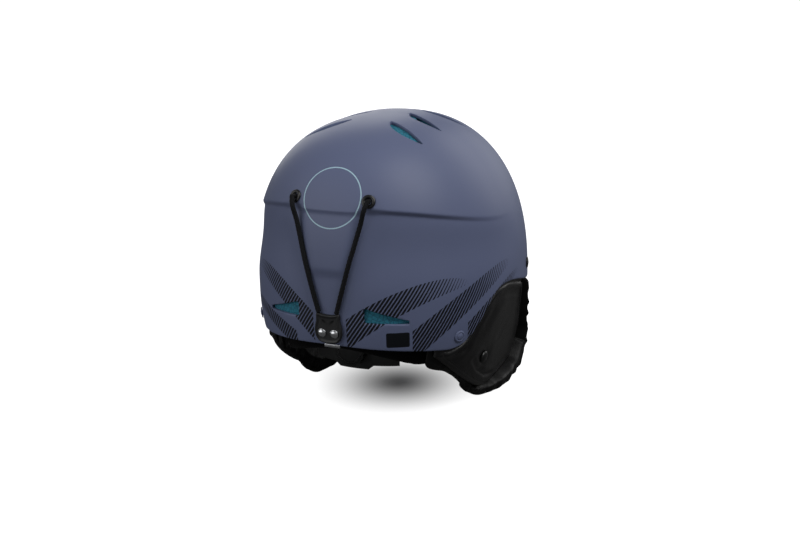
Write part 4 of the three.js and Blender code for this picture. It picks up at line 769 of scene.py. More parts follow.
def skinRows(form, columns, count, lift, recessed=True, fine=True):
    v = shellValues
    belt, top = formValues["belt"], form["top"]
    above, below = v["measured"]
    tilt = np.linspace(math.pi / 2, 0, above)
    rows = np.zeros((count, columns, 3))
    for j in range(columns):
        bearing = j * 360 / columns
        heights = belt + (top - belt) * np.sin(tilt) ** (2 / float(powerAt(bearing)))
        low = float(rimHeight(bearing)) + lift
        heights = np.maximum(np.concatenate([heights, np.linspace(belt, 0, below)[1:]]), low)
        radius = formRadius(form, np.full(heights.shape, float(bearing)), heights, recessed, fine)
        radius[0] = 0
        # more rows at the ledge, so that its line has no steps
        near = np.exp(-((heights[1:] - float(ledgeHeight(bearing))) / v["crowdReach"]) ** 2)
        crowd = 1 + v["crowding"] * fine * near
        run = np.concatenate([[0], np.cumsum(np.hypot(np.diff(radius), np.diff(heights)) * crowd)])
        shares = np.linspace(0, run[-1], count + 1)[1:]
        rows[:, j] = aimed(bearing, np.interp(shares, run, radius), np.interp(shares, run, heights))
    return rows


# A rounded edge between the last row of one skin and the last of the other
def lipRows(outer, inner, steps):
    middle, half = (outer + inner) / 2, (outer - inner) / 2
    depth = np.linalg.norm(half, axis=-1, keepdims=True)
    rows = []
    for k in range(1, steps + 1):
        angle = math.pi * k / (steps + 1)
        row = middle + half * math.cos(angle)
        row[:, 2:] -= depth * math.sin(angle)
        rows.append(row)
    return np.array(rows)


def wallBody(name, outer, inner, lip, top, innerTop):
    return closedRows(name, np.concatenate([outer, lip, inner[::-1]]), (0, 0, top), (0, 0, innerTop))


# A smooth curve through all the points
def smoothLine(points, steps=6, closed=True):
    points = np.asarray(points, float)
    count = len(points)
    result = []
    for i in range(count if closed else count - 1):
        around = [(i + k) % count if closed else min(max(i + k, 0), count - 1) for k in (-1, 0, 1, 2)]
        a, b, c, d = points[around]
        for t in np.arange(steps) / steps:
            result.append(
                0.5 * (2 * b + (c - a) * t + (2 * a - 5 * b + 4 * c - d) * t * t + (3 * b - a - 3 * c + d) * t ** 3)
            )
    return np.array(result if closed else result + [points[-1]])


# Moves a closed outline outward by a distance
def offsetLine(outline, distance):
    x, y = outline.T
    along = np.roll(outline, -1, 0) - np.roll(outline, 1, 0)
    along /= np.linalg.norm(along, axis=1, keepdims=True) + 1e-9
    area = np.sum(x * np.roll(y, -1) - y * np.roll(x, -1))
    return outline + np.stack([along[:, 1], -along[:, 0]], 1) * (1 if area > 0 else -1) * distance


# Rounds the corners of an outline, or of a line whose ends stay
def softened(line, passes, closed=True):
    for _ in range(passes):
        soft = (line * 2 + np.roll(line, 1, 0) + np.roll(line, -1, 0)) / 4
        line = soft if closed else np.concatenate([line[:1], soft[1:-1], line[-1:]])
    return line


def ventOutline(share, shift, index, side):
    v = ventValues
    half, wide = v["length"] / 2 * share, v["width"] * share
    points = []
    for bend in v["bends"]:
        start, pull, end = ((half * a, wide * b) for a, b in bend)
        corners = list(zip(start, pull, end))
        for t in np.arange(v["bendSteps"]) / v["bendSteps"]:
            points.append([(1 - t) ** 2 * a + 2 * t * (1 - t) * b + t * t * c for a, b, c in corners])
    back = np.arange(v["backSteps"])
    points += [[half * (1 - 2 * k / len(back)), -v["sag"] * math.sin(math.pi * k / len(back))] for k in back]
    x, y = np.array(points).T
    turn = math.radians(v["turns"][index])
    across = x * math.cos(turn) - y * math.sin(turn) + v["inset"]
    along = x * math.sin(turn) + y * math.cos(turn) + v["rearPlace"] - index * v["pitch"] - shift
    return softened(np.stack([across * side, along], 1), 2)


# A cutter with one ring for each step of its edge: placed gives a ring's points at a level
def cutterOf(outline, edge, placed):
    return closedRows("cutter", [np.stack(placed(*offsetLine(outline, out).T, level), 1) for out, level in edge])


def ventCutter(share, shift, index, side, edge, form):
    outline = ventOutline(share, shift, index, side)
    return cutterOf(outline, edge, lambda x, y, level: (x, y, crownLevel(form, x, y) + level))


def windowCutter(side):
    v = windowValues
    tip = v["tipTall"] / 2
    corners = [
        (v["inner"], v["sill"]), (v["outer"], v["sill"] - tip), (v["outer"], v["sill"] + tip),
        (v["inner"], v["sill"] + v["tall"]),
    ]
    outline = []
    for (ax, az), (bx, bz) in zip(corners, corners[1:] + corners[:1]):
        outline += [(mix(ax, bx, k / 16), mix(az, bz, k / 16)) for k in range(16)]

    def placed(x, z, level):
        bearing = faceBearing(x, z)
        return x, formRadius(shellForm, bearing, z, True, False) * np.cos(np.radians(bearing)) + level, z

    return cutterOf(softened(np.array(outline) * [side, 1], 2), v["edge"], placed)


def cutAway(piece, cutters):
    collection = bpy.data.collections.new(piece.name + "_cutters")
    bpy.context.scene.collection.children.link(collection)
    for cutter in cutters:
        collection.objects.link(cutter)
        bpy.context.scene.collection.objects.unlink(cutter)
    cut = piece.modifiers.new("openings", "BOOLEAN")
    cut.operation, cut.solver, cut.use_self = "DIFFERENCE", "EXACT", False
    cut.operand_type, cut.collection = "COLLECTION", collection
    bake(piece)
    for cutter in cutters:
        bpy.data.objects.remove(cutter)
    bpy.data.collections.remove(collection)


def makeShell():
    v, wall = shellValues, formValues["wall"]
    outer = skinRows(shellForm, v["columns"], v["rows"], wall / 2)
    inner = skinRows(within(shellForm, wall), v["columns"], v["innerRows"], wall / 2)
    lip = lipRows(outer[-1], inner[-1], v["lipSteps"])
    piece = wallBody("shell_fine", outer, inner, lip, shellForm["top"], shellForm["top"] - wall)
    cutters = []
    for side in sides.values():
        cutters += [ventCutter(1, 0, index, side, ventValues["edge"], shellForm) for index in range(3)]
        cutters.append(windowCutter(side))
    cutAway(piece, cutters)
    mapPrint(piece)
    return dress(shade(piece, 32), shellCoat, "shell")


shellPiece = makeShell()
print("shell made", len(shellPiece.data.polygons))

# Liner: one moulding of foam, with channels behind the middle and front vents

linerValues = {
    "columns": 220, "rows": 66, "innerRows": 60, "gap": 0.5, "depth": 27, "lift": 3, "edge": 2.5,
    "edgeTurns": (25, 50, 75, 90),
    "channel": ((2.6, 3), (1.5, 0), (0.7, -0.7), (0.2, -1.6), (0, -3), (0, -12), (0, -40)),
    "channelsFrom": 1,      # the rear pair of vents has plain foam behind it
    "strapRoom": 0.6,
}


# A cutter made from a CAD node's own shape, grown outward a little
def nodeCutter(node, room):
    return edited(ownShape(node, "_cutter"), merge, lambda shape: grow(shape, room))


def makeLiner():
    v, w = linerValues, ventValues
    outside = within(shellForm, formValues["wall"] + v["gap"])
    inside = within(shellForm, v["depth"])
    outer = skinRows(outside, v["columns"], v["rows"], v["lift"] + v["edge"], True, False)
    inner = skinRows(inside, v["columns"], v["innerRows"], v["lift"] + v["edge"], False, False)
    away = unit(inner[-1] - outer[-1])
    lip = []
    for row, way, turns in ((outer[-1], 1, v["edgeTurns"]), (inner[-1], -1, v["edgeTurns"][::-1])):
        for angle in map(math.radians, turns):
            lip.append(row + away * way * v["edge"] * (1 - math.cos(angle)))
            lip[-1][:, 2] -= v["edge"] * math.sin(angle)
    piece = wallBody("liner_fine", outer, inner, np.array(lip), outside["top"], inside["top"])
    cutters = [
        ventCutter(w["channelShare"], w["channelShift"], index, side, v["channel"], outside)
        for side in sides.values() for index in range(v["channelsFrom"], 3)
    ]
    cutters += [nodeCutter(leg + name, v["strapRoom"]) for leg in ("front_leg_", "rear_leg_") for name in sides]
    cutAway(piece, cutters)
    return dress(shade(piece, 35), foam, "liner")


linerPiece = makeLiner()
print("liner made", len(linerPiece.data.polygons))


# A seat for a small part on the shell: its place and the way out
def seatAt(bearing, height):
    return formPoint(shellForm, bearing, height, False), formNormal(shellForm, bearing, height)


# Retainer: eyelets, elastic cords, tab and its two press studs

grommetValues = {"place": (32.2, 137.5), "radius": 5.6, "barrel": 3.8, "bore": 2.3, "lip": 1.4, "behind": -4.1}
cordValues = {
    "radius": 2.0, "rise": 2.4, "lift": 3.2, "endHalf": 8, "endHeight": 48.3, "seatRise": 4.3,
    "shares": (0, 0.08, 0.2, 0.36, 0.52, 0.68, 0.84, 1),
    "sides": 32, "strands": 5, "step": 0.35, "braidPitch": 3.4, "relief": 0.22,     # a braid coarse enough to show
}


def grommetSeat(side):
    across, height = grommetValues["place"]
    return seatAt(float(faceBearing(side * across, height)), height)


def makeCord(name, side):
    v = cordValues
    point, normal = grommetSeat(side)
    pivot = point + normal * v["seatRise"]
    points = []
    for share in v["shares"]:
        across = mix(pivot[0], side * v["endHalf"], share)
        height = mix(pivot[2], v["endHeight"], share)
        bearing = float(faceBearing(across, height))
        skin = float(formPoint(shellForm, bearing, height, False)[1]) + v["rise"]
        lift = (1 - float(ease(share, v["shares"][1], v["shares"][3]))) * max(pivot[1] - skin, v["lift"])
        points.append((across, skin + lift if share else pivot[1], height))
    path = toWorld(smoothLine(points, 8, False))
    sizes = {
        "Radius": (v["radius"] - v["relief"]) * mm, "Step": v["step"] * mm, "Braid Pitch": v["braidPitch"] * mm,
        "Relief": v["relief"] * mm, "Sides": float(v["sides"]), "Strands": float(v["strands"]),
    }
    piece = shade(grown("cord_" + name + "_fine", cordBraid, path, sizes, braid), 60)
    dress(piece, braid, "cord_" + name, "retainer")


for name, side in sides.items():
    makeCord(name, side)


def makeGrommet(name, side):
    v = grommetValues
    r, bore, lip, back = v["radius"], v["bore"], v["lip"], v["behind"]
    loop = [
        (bore, back - lip), (r * 0.88, back - lip), (r * 0.9, back - lip * 0.6), (r * 0.9, back), (v["barrel"], back),
        (v["barrel"], 0.3), (r - 0.15, 0.3), (r, 0.5), (r * 0.985, 0.95), (r * 0.93, 1.35), (r * 0.84, 1.62),
        (r * 0.74, 1.72), (r * 0.63, 1.66), (r * 0.54, 1.4), (r * 0.47, 1.0), (bore + 0.1, 0.4), (bore, -0.2),
    ]
    dress(spun("grommet_" + name + "_fine", loop, grommetSeat(side)), acetal, "grommet_" + name)


for name, side in sides.items():
    makeGrommet(name, side)
    refined("cord_knot_" + name, braid, 0, angle=80)

tabValues = {
    "half": (
        (0, 46.2), (4.4, 46.5), (7.4, 47.2), (9.2, 47.6), (10.2, 46.8), (10.5, 44.8), (10.5, 42.4), (10.9, 40),
        (11.6, 37.2), (12.1, 34), (11.9, 30.4), (10.8, 27), (8.8, 24.3), (5.7, 22.8), (0, 22.3),
    ),
    "gap": 0.3, "thickness": 2.3, "ridge": 0.65,
    # how far in from the edge each ring lies, and its level as a share of the thickness and of the ridge
    "rings": (
        (0.3, 0, 0), (0, 0.12, 0), (0, 0.75, 0), (0.25, 0.98, 0.25), (0.75, 1, 0.9), (1.2, 1, 1), (1.75, 1, 0.6),
        (2.3, 1, 0), (3.2, 0.97, 0),
    ),
    "middle": (0.75, 0.5, 0.25), "middleLevel": 0.95,       # rings within the last, as shares of it
}
tabFace = float(formRadius(shellForm, 0.0, formValues["belt"], True, False)) + tabValues["gap"]


def makeTab():
    v = tabValues
    outline = smoothLine([*v["half"], *((-x, z) for x, z in v["half"][-2:0:-1])], 5)
    rings = [
        (offsetLine(outline, -inset), tabFace + v["thickness"] * level + v["ridge"] * ridge)
        for inset, level, ridge in v["rings"]
    ]
    middle, last = outline.mean(0), rings[-1][0]
    level = tabFace + v["thickness"] * v["middleLevel"]
    rings += [(middle + (last - middle) * share, level) for share in v["middle"]]
    rows = [np.stack([ring[:, 0], lift + 0 * ring[:, 0], ring[:, 1]], 1) for ring, lift in rings]
    piece = closedRows("retainer_tab_fine", rows)
    dress(shade(piece, 50), tabRubber, "retainer_tab", "retainer")


makeTab()

snapValues = {"halfPitch": 5.5, "height": 31, "cap": 3.7, "barrel": 2.9, "thickness": 2.6, "rise": 1.9}


def makeSnap(name, side):
    v = snapValues
    seat = (np.array([side * v["halfPitch"], tabFace, v["height"]]), np.array([0, 1, 0]))
    top, cap = v["thickness"] + 0.1, v["cap"]
    profile = [
        (0, 0.4), (v["barrel"], 0.4, 0.1), (v["barrel"], top - 0.2, 0.1), (cap - 0.1, top - 0.2, 0.15),
        (cap, top + 0.35, 0.3), (cap * 0.86, top + 0.75, 0.35), (cap * 0.66, top + v["rise"] * 0.78, 0.9),
        (cap * 0.3, top + v["rise"], 0.8), (0, top + v["rise"]),
    ]
    dress(turned("snap_cap_" + name + "_fine", profile, seat), nickel, "snap_cap_" + name, "retainer")
    refined("snap_stud_" + name, nickel, 0.15)


for name, side in sides.items():
    makeSnap(name, side)
refined("rim_clip", zinc, 0.3)

rivetValues = {
    "rear": (51, 22.1), "front": (113.8, 52.7),     # turn and height
    # profiles, here and below: radius, height and the rounding of the corner
    "profile": (
        (0, -6.6), (2.4, -6.6, 0.2), (2.4, 0.3, 0.1), (4.9, 0.3, 0.1), (4.9, 0.8, 0.3), (4.2, 1.3, 0.4),
        (3.6, 1.35, 0.2), (3.2, 0.9, 0.25), (2.8, 1.3, 0.3), (1.5, 1.75, 1.2), (0, 1.85),
    ),
}

for name, side in sides.items():
    for where, material in ("rear", rivetCoat), ("front", acetal):
        turn, height = rivetValues[where]
        node = where + "_rivet_" + name
        dress(turned(node + "_fine", rivetValues["profile"], seatAt(-side * turn, height)), material, node)
print("retainer and fasteners made")

# Ear pads: a leatherette panel and a softer gathered lining behind it, drawn for one side and mirrored

padValues = {
    "drop": 58.9, "half": 86, "lean": 0.2115, "tuck": 1, "frontBend": 0.3, "underRim": 1.6, "least": 8,
    "panel": {
        "front": -70, "rear": 86, "depth": 6, "columns": 130, "rows": 96, "round": 2.4, "fill": 0.7,
        "foot": (
            (-1, -0.45), (-0.9, -0.6), (-0.77, -0.69), (-0.27, -0.735), (0.12, -0.745), (0.24, -0.7), (0.42, -0.56),
            (0.65, -0.33), (0.86, -0.08), (1, 0.1),
        ),
        "brow": ((-70, -17), (-42, 39)), "browBack": -42,
        # a roll that follows the rim and a valley under it: drop, width, rise and the places between which it fades
        "rolls": ((7.5, 2.4, 1.2, (-72, -40)), (14, 4, -1.1, (-66, -30))),
        # the dimple round the snap: depth and reach, then its rays: height, number, turn, distance and width
        "snap": (26, -11.9), "dimple": (2.7, 8.5), "rays": (0.25, 3, 0.6, 10, 5),
        "swell": 1.4, "swellFrom": 3, "swellReach": 9, "swellBehind": 0.3,
        "wrinkles": ((0.4, 26, 3.1), (0.16, 9, 7.7)),       # height, size and seed
        "seam": 4.2, "groove": (0.6, 0.8),      # drawn in by the stitches: depth and width
        # folds: the line that each follows, its depth and its width
        "folds": (
            (((46, -9), (35, -20), (18, -31), (-4, -37)), 1.5, 1.9), (((-36, 28), (-52, -8), (-50, -24)), 0.6, 4.5),
            (((-6, 44), (22, 34), (44, 14)), 1.1, 6), (((56, 6), (72, 4)), 0.7, 2.6), (((8, -2), (-12, 6)), 0.5, 3),
        ),
        "shoulder": (0.45, 2, 1.3),     # beside each fold: height, place and width, as shares of the fold's own
    },
    "lining": {
        "front": -90, "rear": 86, "behind": 6.8, "columns": 220, "rows": 130, "round": 5, "fill": 0.6,
        "footFront": -72, "frontRise": 4, "frontTall": 18, "cheek": -14, "cheekPlace": -77, "browBack": -51,
        "brow": 39, "edgeDepth": 6, "depth": 13, "depthReach": 14, "taper": 3,
        # the foot from its front corner to the rear: place and height above the floor
        "foot": (
            (-20, 0), (0, 1.8), (8, 3.4), (18, 8.4), (28.8, 15), (36.8, 23.5), (51, 35), (65.6, 45), (79, 51),
            (84, 54.5), (86, 60),
        ),
        "gather": 1.7, "gatherPitch": 17, "gatherReach": 11, "wave": (1.4, 0.9),
        # pleats: pitch as a share, how far noise moves them, and its size and seed
        "pleats": ((1, 3.2, 24, 1.3), (0.37, 3.0, 15, 5.3)), "calm": (0.5, 20, 9.1),
        "pleatWay": (0.9, 0.55), "mostOut": (-1.4, 1.4, 0.6), "mostIn": (-0.5, 1.2),
        "flareFade": (-1.5, 6), "cornerFade": (-8, 8), "frontFade": (-3, 8), "rearFade": (0, 30), "footFade": (-1, 3),
        # how far the free edge bulges outside the panel's face, by height at the front and by place at the foot
        "frontFlare": ((-60, 8), (-52, 3.5), (-45, 4.5), (-34, 9.5), (-14, 7.5), (20, 6), (39, 4.5)),
        "footFlare": ((-90, 8), (-60, 9), (-25, 9.5), (-5, 5), (8, 0), (20, -4), (30, -6.8)),
    },
}


def sideBend(place):
    reach = np.where(place > 0, shellForm["rear"], shellForm["front"])
    power = formValues["planPower"]
    bend = (1 - (np.abs(place) / reach) ** power) ** (1 / power)
    return np.where(place > 0, bend, 1 + padValues["frontBend"] * (bend - 1))


def padFace(place, height):
    v = padValues
    return (v["half"] + v["lean"] * (height + v["drop"])) * sideBend(place) - v["tuck"]


def padPoint(place, height, depth):
    return np.stack(np.broadcast_arrays(padFace(place, height) - depth, place, height), -1)


def padNormal(place, height, step=0.3):
    along = padPoint(place + step, height, 0) - padPoint(place - step, height, 0)
    up = padPoint(place, height + step, 0) - padPoint(place, height - step, 0)
    return unit(np.cross(along, up))


def rimAbove(place, depth):
    height = np.full(np.shape(place), float(rimValues["earCut"]))
    for _ in range(6):
        height = rimHeight(np.degrees(np.arctan2(padFace(place, height) - depth, place)))
    return height


def lineAt(outline, place):
    return np.interp(place, *zip(*outline))


def panelFoot(place):
    v = padValues["panel"]
    outline = [(-s * v["front"] if s < 0 else s * v["rear"], d * padValues["drop"]) for s, d in v["foot"]]
    return lineAt(smoothLine(outline, 6, False), place)


def panelFront(height):
    return lineAt([(z, y) for y, z in padValues["panel"]["brow"]], height)


def liningFoot(place):
    v = padValues["lining"]
    outline = smoothLine([(v["front"], v["frontRise"]), (v["footFront"], 0), *v["foot"]], 6, False)
    return np.maximum(lineAt(outline, place), 0) - padValues["drop"]


# A pad's top: under the shell's rim, and along the brow's line in front
def padTop(place, depth, brow, browBack, foot):
    rim = rimAbove(place, depth) + padValues["underRim"]
    top = np.where(place < browBack, np.minimum(lineAt(brow, place), rim), rim)
    return np.maximum(top, foot + padValues["least"])


def crowded(count):
    return (1 - np.cos(np.pi * np.arange(count + 1) / count)) / 2


# The place and the share of the height at each point of a patch, which crowd towards its edges
def patchGrid(v):
    return np.meshgrid(mix(v["front"], v["rear"], crowded(v["columns"])), crowded(v["rows"]), indexing="ij")


def bump(value, width):
    return np.exp(-(value / width) ** 2)


def noiseAt(places, heights, size, seed):
    flat = np.stack([places, heights], -1).reshape(-1, 2)
    found = [noise.noise(Vector((p / size, h / size, seed))) for p, h in flat]
    return np.array(found).reshape(np.shape(places))


# A soft patch with fully rounded edges, between an outer and an inner depth, with what is added to each
def softPatch(place, height, outerDepth, innerDepth, rounding, addOuter, addInner):
    du = np.minimum(place - place[:1], place[-1:] - place)
    dv = np.minimum(height - height[:, :1], height[:, -1:] - height)
    near = np.clip(1 - np.minimum(du, dv) / rounding, 0, 1)
    arc = 1 - np.sqrt(1 - near ** 2)
    half = (innerDepth - outerDepth) / 2
    keep = 1 - ease(near, 0.2, 1)
    outer = padPoint(place, height, outerDepth + half * arc - addOuter * keep)
    inner = padPoint(place, height, innerDepth - half * arc + addInner * keep)
    return np.concatenate([outer, inner[:, ::-1]], axis=1)


# How far points lie from a broken line, and how far along it as a share
def fromLine(place, height, line):
    best, share = np.full(place.shape, 1e3), np.zeros(place.shape)
    for i, ((ay, az), (by, bz)) in enumerate(zip(line, line[1:])):
        step = np.array([by - ay, bz - az])
        run = np.clip(((place - ay) * step[0] + (height - az) * step[1]) / (step @ step), 0, 1)
        off = np.hypot(place - ay - run * step[0], height - az - run * step[1])
        share = np.where(off < best, (i + run) / (len(line) - 1), share)
        best = np.minimum(best, off)
    return best, share


def makePanelRows():
    v = padValues["panel"]
    place, share = patchGrid(v)
    foot = panelFoot(place)
    top = padTop(place, v["depth"] / 2, v["brow"], v["browBack"], foot)
    height = mix(foot, top, share)
    below = top - height
    reach = np.minimum.reduce([place - v["front"], v["rear"] - place, height - foot, below])
    swell = v["swell"] * (1 - np.exp(-np.clip(reach - v["swellFrom"], 0, None) / v["swellReach"]))
    add = swell
    for drop, width, rise, fade in v["rolls"]:
        add = add + rise * bump(below - drop, width) * ease(place, *fade)
    y, z = v["snap"]
    away, turn = np.hypot(place - y, height - z), np.arctan2(height - z, place - y)
    tall, number, start, distance, width = v["rays"]
    add = add - v["dimple"][0] * bump(away, v["dimple"][1])
    add = add + tall * np.cos(number * turn + start) * bump(away - distance, width)
    folds = np.zeros(place.shape)
    tall, far, broad = v["shoulder"]
    for line, deep, wide in v["folds"]:
        off, run = fromLine(place, height, line)
        fade = np.sin(math.pi * np.clip(run * 0.9 + 0.05, 0, 1)) ** 0.6
        folds += deep * fade * (tall * bump(off - wide * far, wide * broad) - bump(off, wide))
    add = add + folds + sum(tall * noiseAt(place, height, size, seed) for tall, size, seed in v["wrinkles"])
    add = add - v["groove"][0] * bump(reach - v["seam"], v["groove"][1])
    return softPatch(place, height, 0, v["depth"], v["round"], add, v["swellBehind"] * swell)


def makeLiningRows():
    v, panel = padValues["lining"], padValues["panel"]
    place, share = patchGrid(v)
    foot = liningFoot(place)
    brow = (v["front"], v["frontTall"] - padValues["drop"]), (v["cheekPlace"], v["cheek"]), (v["browBack"], v["brow"])
    top = padTop(place, v["behind"] + 5, brow, v["browBack"], foot)
    height = mix(foot, top, share)
    # outside the panel's outline the soft edge bulges outward past it
    ahead = panelFront(height) - place
    below = panelFoot(np.clip(place, panel["front"], panel["rear"])) - height
    beyond = np.maximum(ahead, below)
    corner = ease(ahead - below, *v["cornerFade"])
    flare = mix(lineAt(v["footFlare"], place), lineAt(v["frontFlare"], height), corner)
    outerDepth = mix(v["behind"], -flare, ease(beyond, *v["flareFade"]))
    # gathered edge: the outline waves, and pleats run in from it
    run = place * v["pleatWay"][0] + height * v["pleatWay"][1]
    pleat, fine = (
        np.sin(2 * math.pi * run / (v["gatherPitch"] * part) + move * noiseAt(place, height, size, seed))
        for part, move, size, seed in v["pleats"]
    )
    frontNear = np.exp(-(top - height) / v["gatherReach"]) * ease(v["browBack"] - place, *v["frontFade"])
    frontNear = np.maximum(frontNear, np.exp(-(place - v["front"]) / v["gatherReach"]))
    footNear = np.exp(-(height - foot) / v["gatherReach"]) * ease(v["rear"] - place, *v["rearFade"])
    near = np.clip(frontNear + footNear, 0, 1)
    place = place + v["wave"][0] * (pleat * 0.75 + 0.25 * fine) * frontNear
    height = height + v["wave"][1] * (1 + pleat) * footNear * ease(height - foot, *v["footFade"])
    tall, size, seed = v["calm"]
    add = v["gather"] * (0.8 * pleat + 0.2 * fine) * near + tall * noiseAt(place, height, size, seed) * (1 - near)
    reach = np.minimum.reduce([place - v["front"], v["rear"] - place, height - foot, top - height])
    crown = np.clip(reach / v["depthReach"], 0, 1) * (1 - crowded(v["columns"])[:, None] ** v["taper"])
    inner = v["behind"] + mix(v["edgeDepth"], v["depth"], crown)
    low, free, covered = v["mostOut"]
    addOuter = np.clip(add, low, np.where(beyond > 4, free, covered))
    rows = softPatch(place, height, outerDepth, inner, v["round"], addOuter, np.clip(add, *v["mostIn"]))
    rows[..., 2] = np.maximum(rows[..., 2], -padValues["drop"])
    return rows


# The seam's line inside the panel's free edges, from the rear corner along the foot and up the front
def panelSeam():
    v = padValues["panel"]
    inset = v["seam"]
    places = np.linspace(v["rear"] - inset - 2, v["front"] + inset + 2, 90)
    line = [(p, float(panelFoot(p)) + inset) for p in places]
    heights = np.linspace(line[-1][1] + 2, v["brow"][1][1] - 8, 40)
    line += [(float(panelFront(h)) + inset, h) for h in heights]
    return softened(np.array(line), 6, False)


def makeEarPads():
    panelRows, liningRows = makePanelRows(), makeLiningRows()
    for name, side in sides.items():
        for kind, rows, material in ("panel", panelRows, leatherette), ("lining", liningRows, liningCloth):
            node = "ear_" + kind + "_" + name
            piece = shade(closedRows(node + "_fine", rows * [side, 1, 1]), 70)
            dress(piece, material, node)
            if kind == "panel":
                seam = [padPoint(float(p), float(h), -0.6) * [side, 1, 1] for p, h in panelSeam()]
                stitchRow("panel_stitches_" + name, piece, seam)


makeEarPads()

earSnapValues = {
    "sink": 0.4,
    "profile": (
        (0, -5.7), (1.2, -5.7, 0.1), (1.2, 0.2, 0.1), (5.1, 0.25, 0.2), (5.3, 0.9, 0.4), (4.95, 1.6, 0.6),
        (4.2, 2.3, 1.2), (2.6, 2.95, 2), (0, 3.2),
    ),
}

for name, side in sides.items():
    place, height = map(float, padValues["panel"]["snap"])
    point, normal = (found * [side, 1, 1] for found in (padPoint(place, height, 0), padNormal(place, height)))
    seat = (point - normal * earSnapValues["sink"], normal)
    dress(turned("ear_snap_" + name + "_fine", earSnapValues["profile"], seat), acetal, "ear_snap_" + name)
print("ear pads made")

# Other padded pieces: the CAD solid's own shape, or the roll's, remeshed fine, swollen as cloth and smoothed

clothValues = {"frames": 20, "pressure": 4, "quality": 5, "smoothing": 6, "fill": 0.6}


# Sizes in millimetres: the grain, how far it may swell at most, and how far it shrinks before
def softenedPad(piece, node, material, voxel, cap, shrink):
    v = clothValues
    edited(piece, merge, grow)
    remesh = piece.modifiers.new("even", "REMESH")
    remesh.mode, remesh.voxel_size = "VOXEL", voxel * mm
    bake(piece)
    start = readAll(piece.data.vertices, "co", 3)
    edited(piece, lambda shape: grow(shape, -shrink))
    cloth = piece.modifiers.new("cloth", "CLOTH")
    cloth.settings.use_pressure = True
    cloth.settings.uniform_pressure_force = v["pressure"]
    cloth.settings.effector_weights.gravity = 0
    cloth.settings.quality = v["quality"]
    cloth.point_cache.frame_start, cloth.point_cache.frame_end = 1, v["frames"]
    for step in range(1, v["frames"] + 1):
        bpy.context.scene.frame_set(step)
    bake(piece)
    bpy.context.scene.frame_set(1)
    away = readAll(piece.data.vertices, "co", 3) - start
    reach = np.linalg.norm(away, axis=1, keepdims=True)
    away *= np.minimum(1, cap * mm / np.maximum(reach, 1e-9))
    piece.data.vertices.foreach_set("co", (start + away).ravel())
    calm = piece.modifiers.new("calm", "SMOOTH")
    calm.factor, calm.iterations = 0.5, v["smoothing"]
    finer = piece.modifiers.new("finer", "SUBSURF")
    finer.levels = finer.render_levels = 1
    dress(shade(bake(piece), 80), material, node)


rollValues = {
    "half": 92, "reach": 107.8, "depth": 12, "span": 43.5, "sag": 9, "drop": 22, "dropPower": 1.6, "round": 0.75,
    "steps": 90, "points": 40, "high": 2.55, "endPower": 7,
}


# The roll's own form: the bar inside the rear rim, with its ends closed to a round
def makeRollRows():
    v = rollValues
    share = np.linspace(-1, 1, v["steps"] + 1)[1:-1, None]
    angle = np.linspace(0, 2 * math.pi, v["points"], endpoint=False)[None, :]
    bearing = share * v["span"] + 0 * angle
    reach = planRadius({"half": v["half"], "rear": v["reach"], "front": v["reach"]}, bearing)
    low = v["sag"] - v["drop"] * np.abs(share) ** v["dropPower"]
    high = rimHeight(bearing) + v["high"]
    ends = np.sqrt(1 - np.abs(share) ** v["endPower"])
    out, up = (np.sign(value) * np.abs(value) ** v["round"] * ends for value in (np.cos(angle), np.sin(angle)))
    return aimed(bearing, reach - v["depth"] / 2 * (1 - out), (high + low) / 2 + (high - low) / 2 * up)


softenedPad(closedRows("neck_roll_fine", makeRollRows()), "neck_roll", fleece, 2.2, 2.0, 0.8)
softenedPad(ownShape("chin_pad"), "chin_pad", fleece, 1.6, 1.2, 0.5)
softenedPad(ownShape("nape_pad"), "nape_pad", spacerMesh, 1.6, 1.2, 0.5)
for node in "brow_pad", "crown_pad", "side_pad_left", "side_pad_right", "rear_pad_left", "rear_pad_right":
    softenedPad(ownShape(node), node, spacerMesh, 2.0, 1.8, 0.8)
print("padded pieces made")

# Straps

strapValues = {
    "level": -45.2, "half": 56, "corner": 32, "front": -130, "crossFrom": -12, "crossTo": -52, "tongueBack": -58,
    "socketMouth": -70, "socketLength": 25, "sink": 7.1, "width": 16, "thickness": 1.6, "release": 18,
    "crossings": (0, 0.2, 0.5, 0.8, 1), "cornerSteps": 12, "intoTongue": 0.6, "socketGap": 0.3,
}


# A flat band along a line of points, each with its way out, and with a UV map in millimetres
def sweep(name, centres, section, outs):
    rows = []
    for centre, forward, out in zip(centres, unit(np.gradient(centres, axis=0)), outs):
        side = np.cross(forward, out)
        side = unit(side - forward * (side @ forward))
        face = np.cross(side, forward)
        rows.append([centre + side * a + face * b for a, b in section])
    piece = closedRows(name, rows)
    run, girth = (
        np.concatenate([[0], np.cumsum(np.linalg.norm(np.diff(line, axis=0), axis=1))])
        for line in (centres, np.array(section + [section[0]]))
    )
    count, last = len(section), len(section) * len(rows)
    layer = piece.data.uv_layers.new(name="run")
    for polygon in piece.data.polygons:
        corners = [piece.data.loops[k].vertex_index for k in polygon.loop_indices]
        around = [c % count for c in corners if c < last]
        wraps = around and max(around) == count - 1 and min(around) == 0
        for k, c in zip(polygon.loop_indices, corners):
            place = count if wraps and c % count == 0 else c % count
            layer.data[k].uv = (run[c // count], girth[place]) if c < last else (0, 0)
    return piece


def bandSection(width, thickness):
    w, t = width / 2, thickness / 2
    half = [(w - t * 0.6, -t), (w, -t * 0.4), (w, t * 0.4), (w - t * 0.6, t)]
    half += [(mix(w - t, -w + t, k / 8), t) for k in range(1, 8)]
    return half + [(-x, -y) for x, y in half]


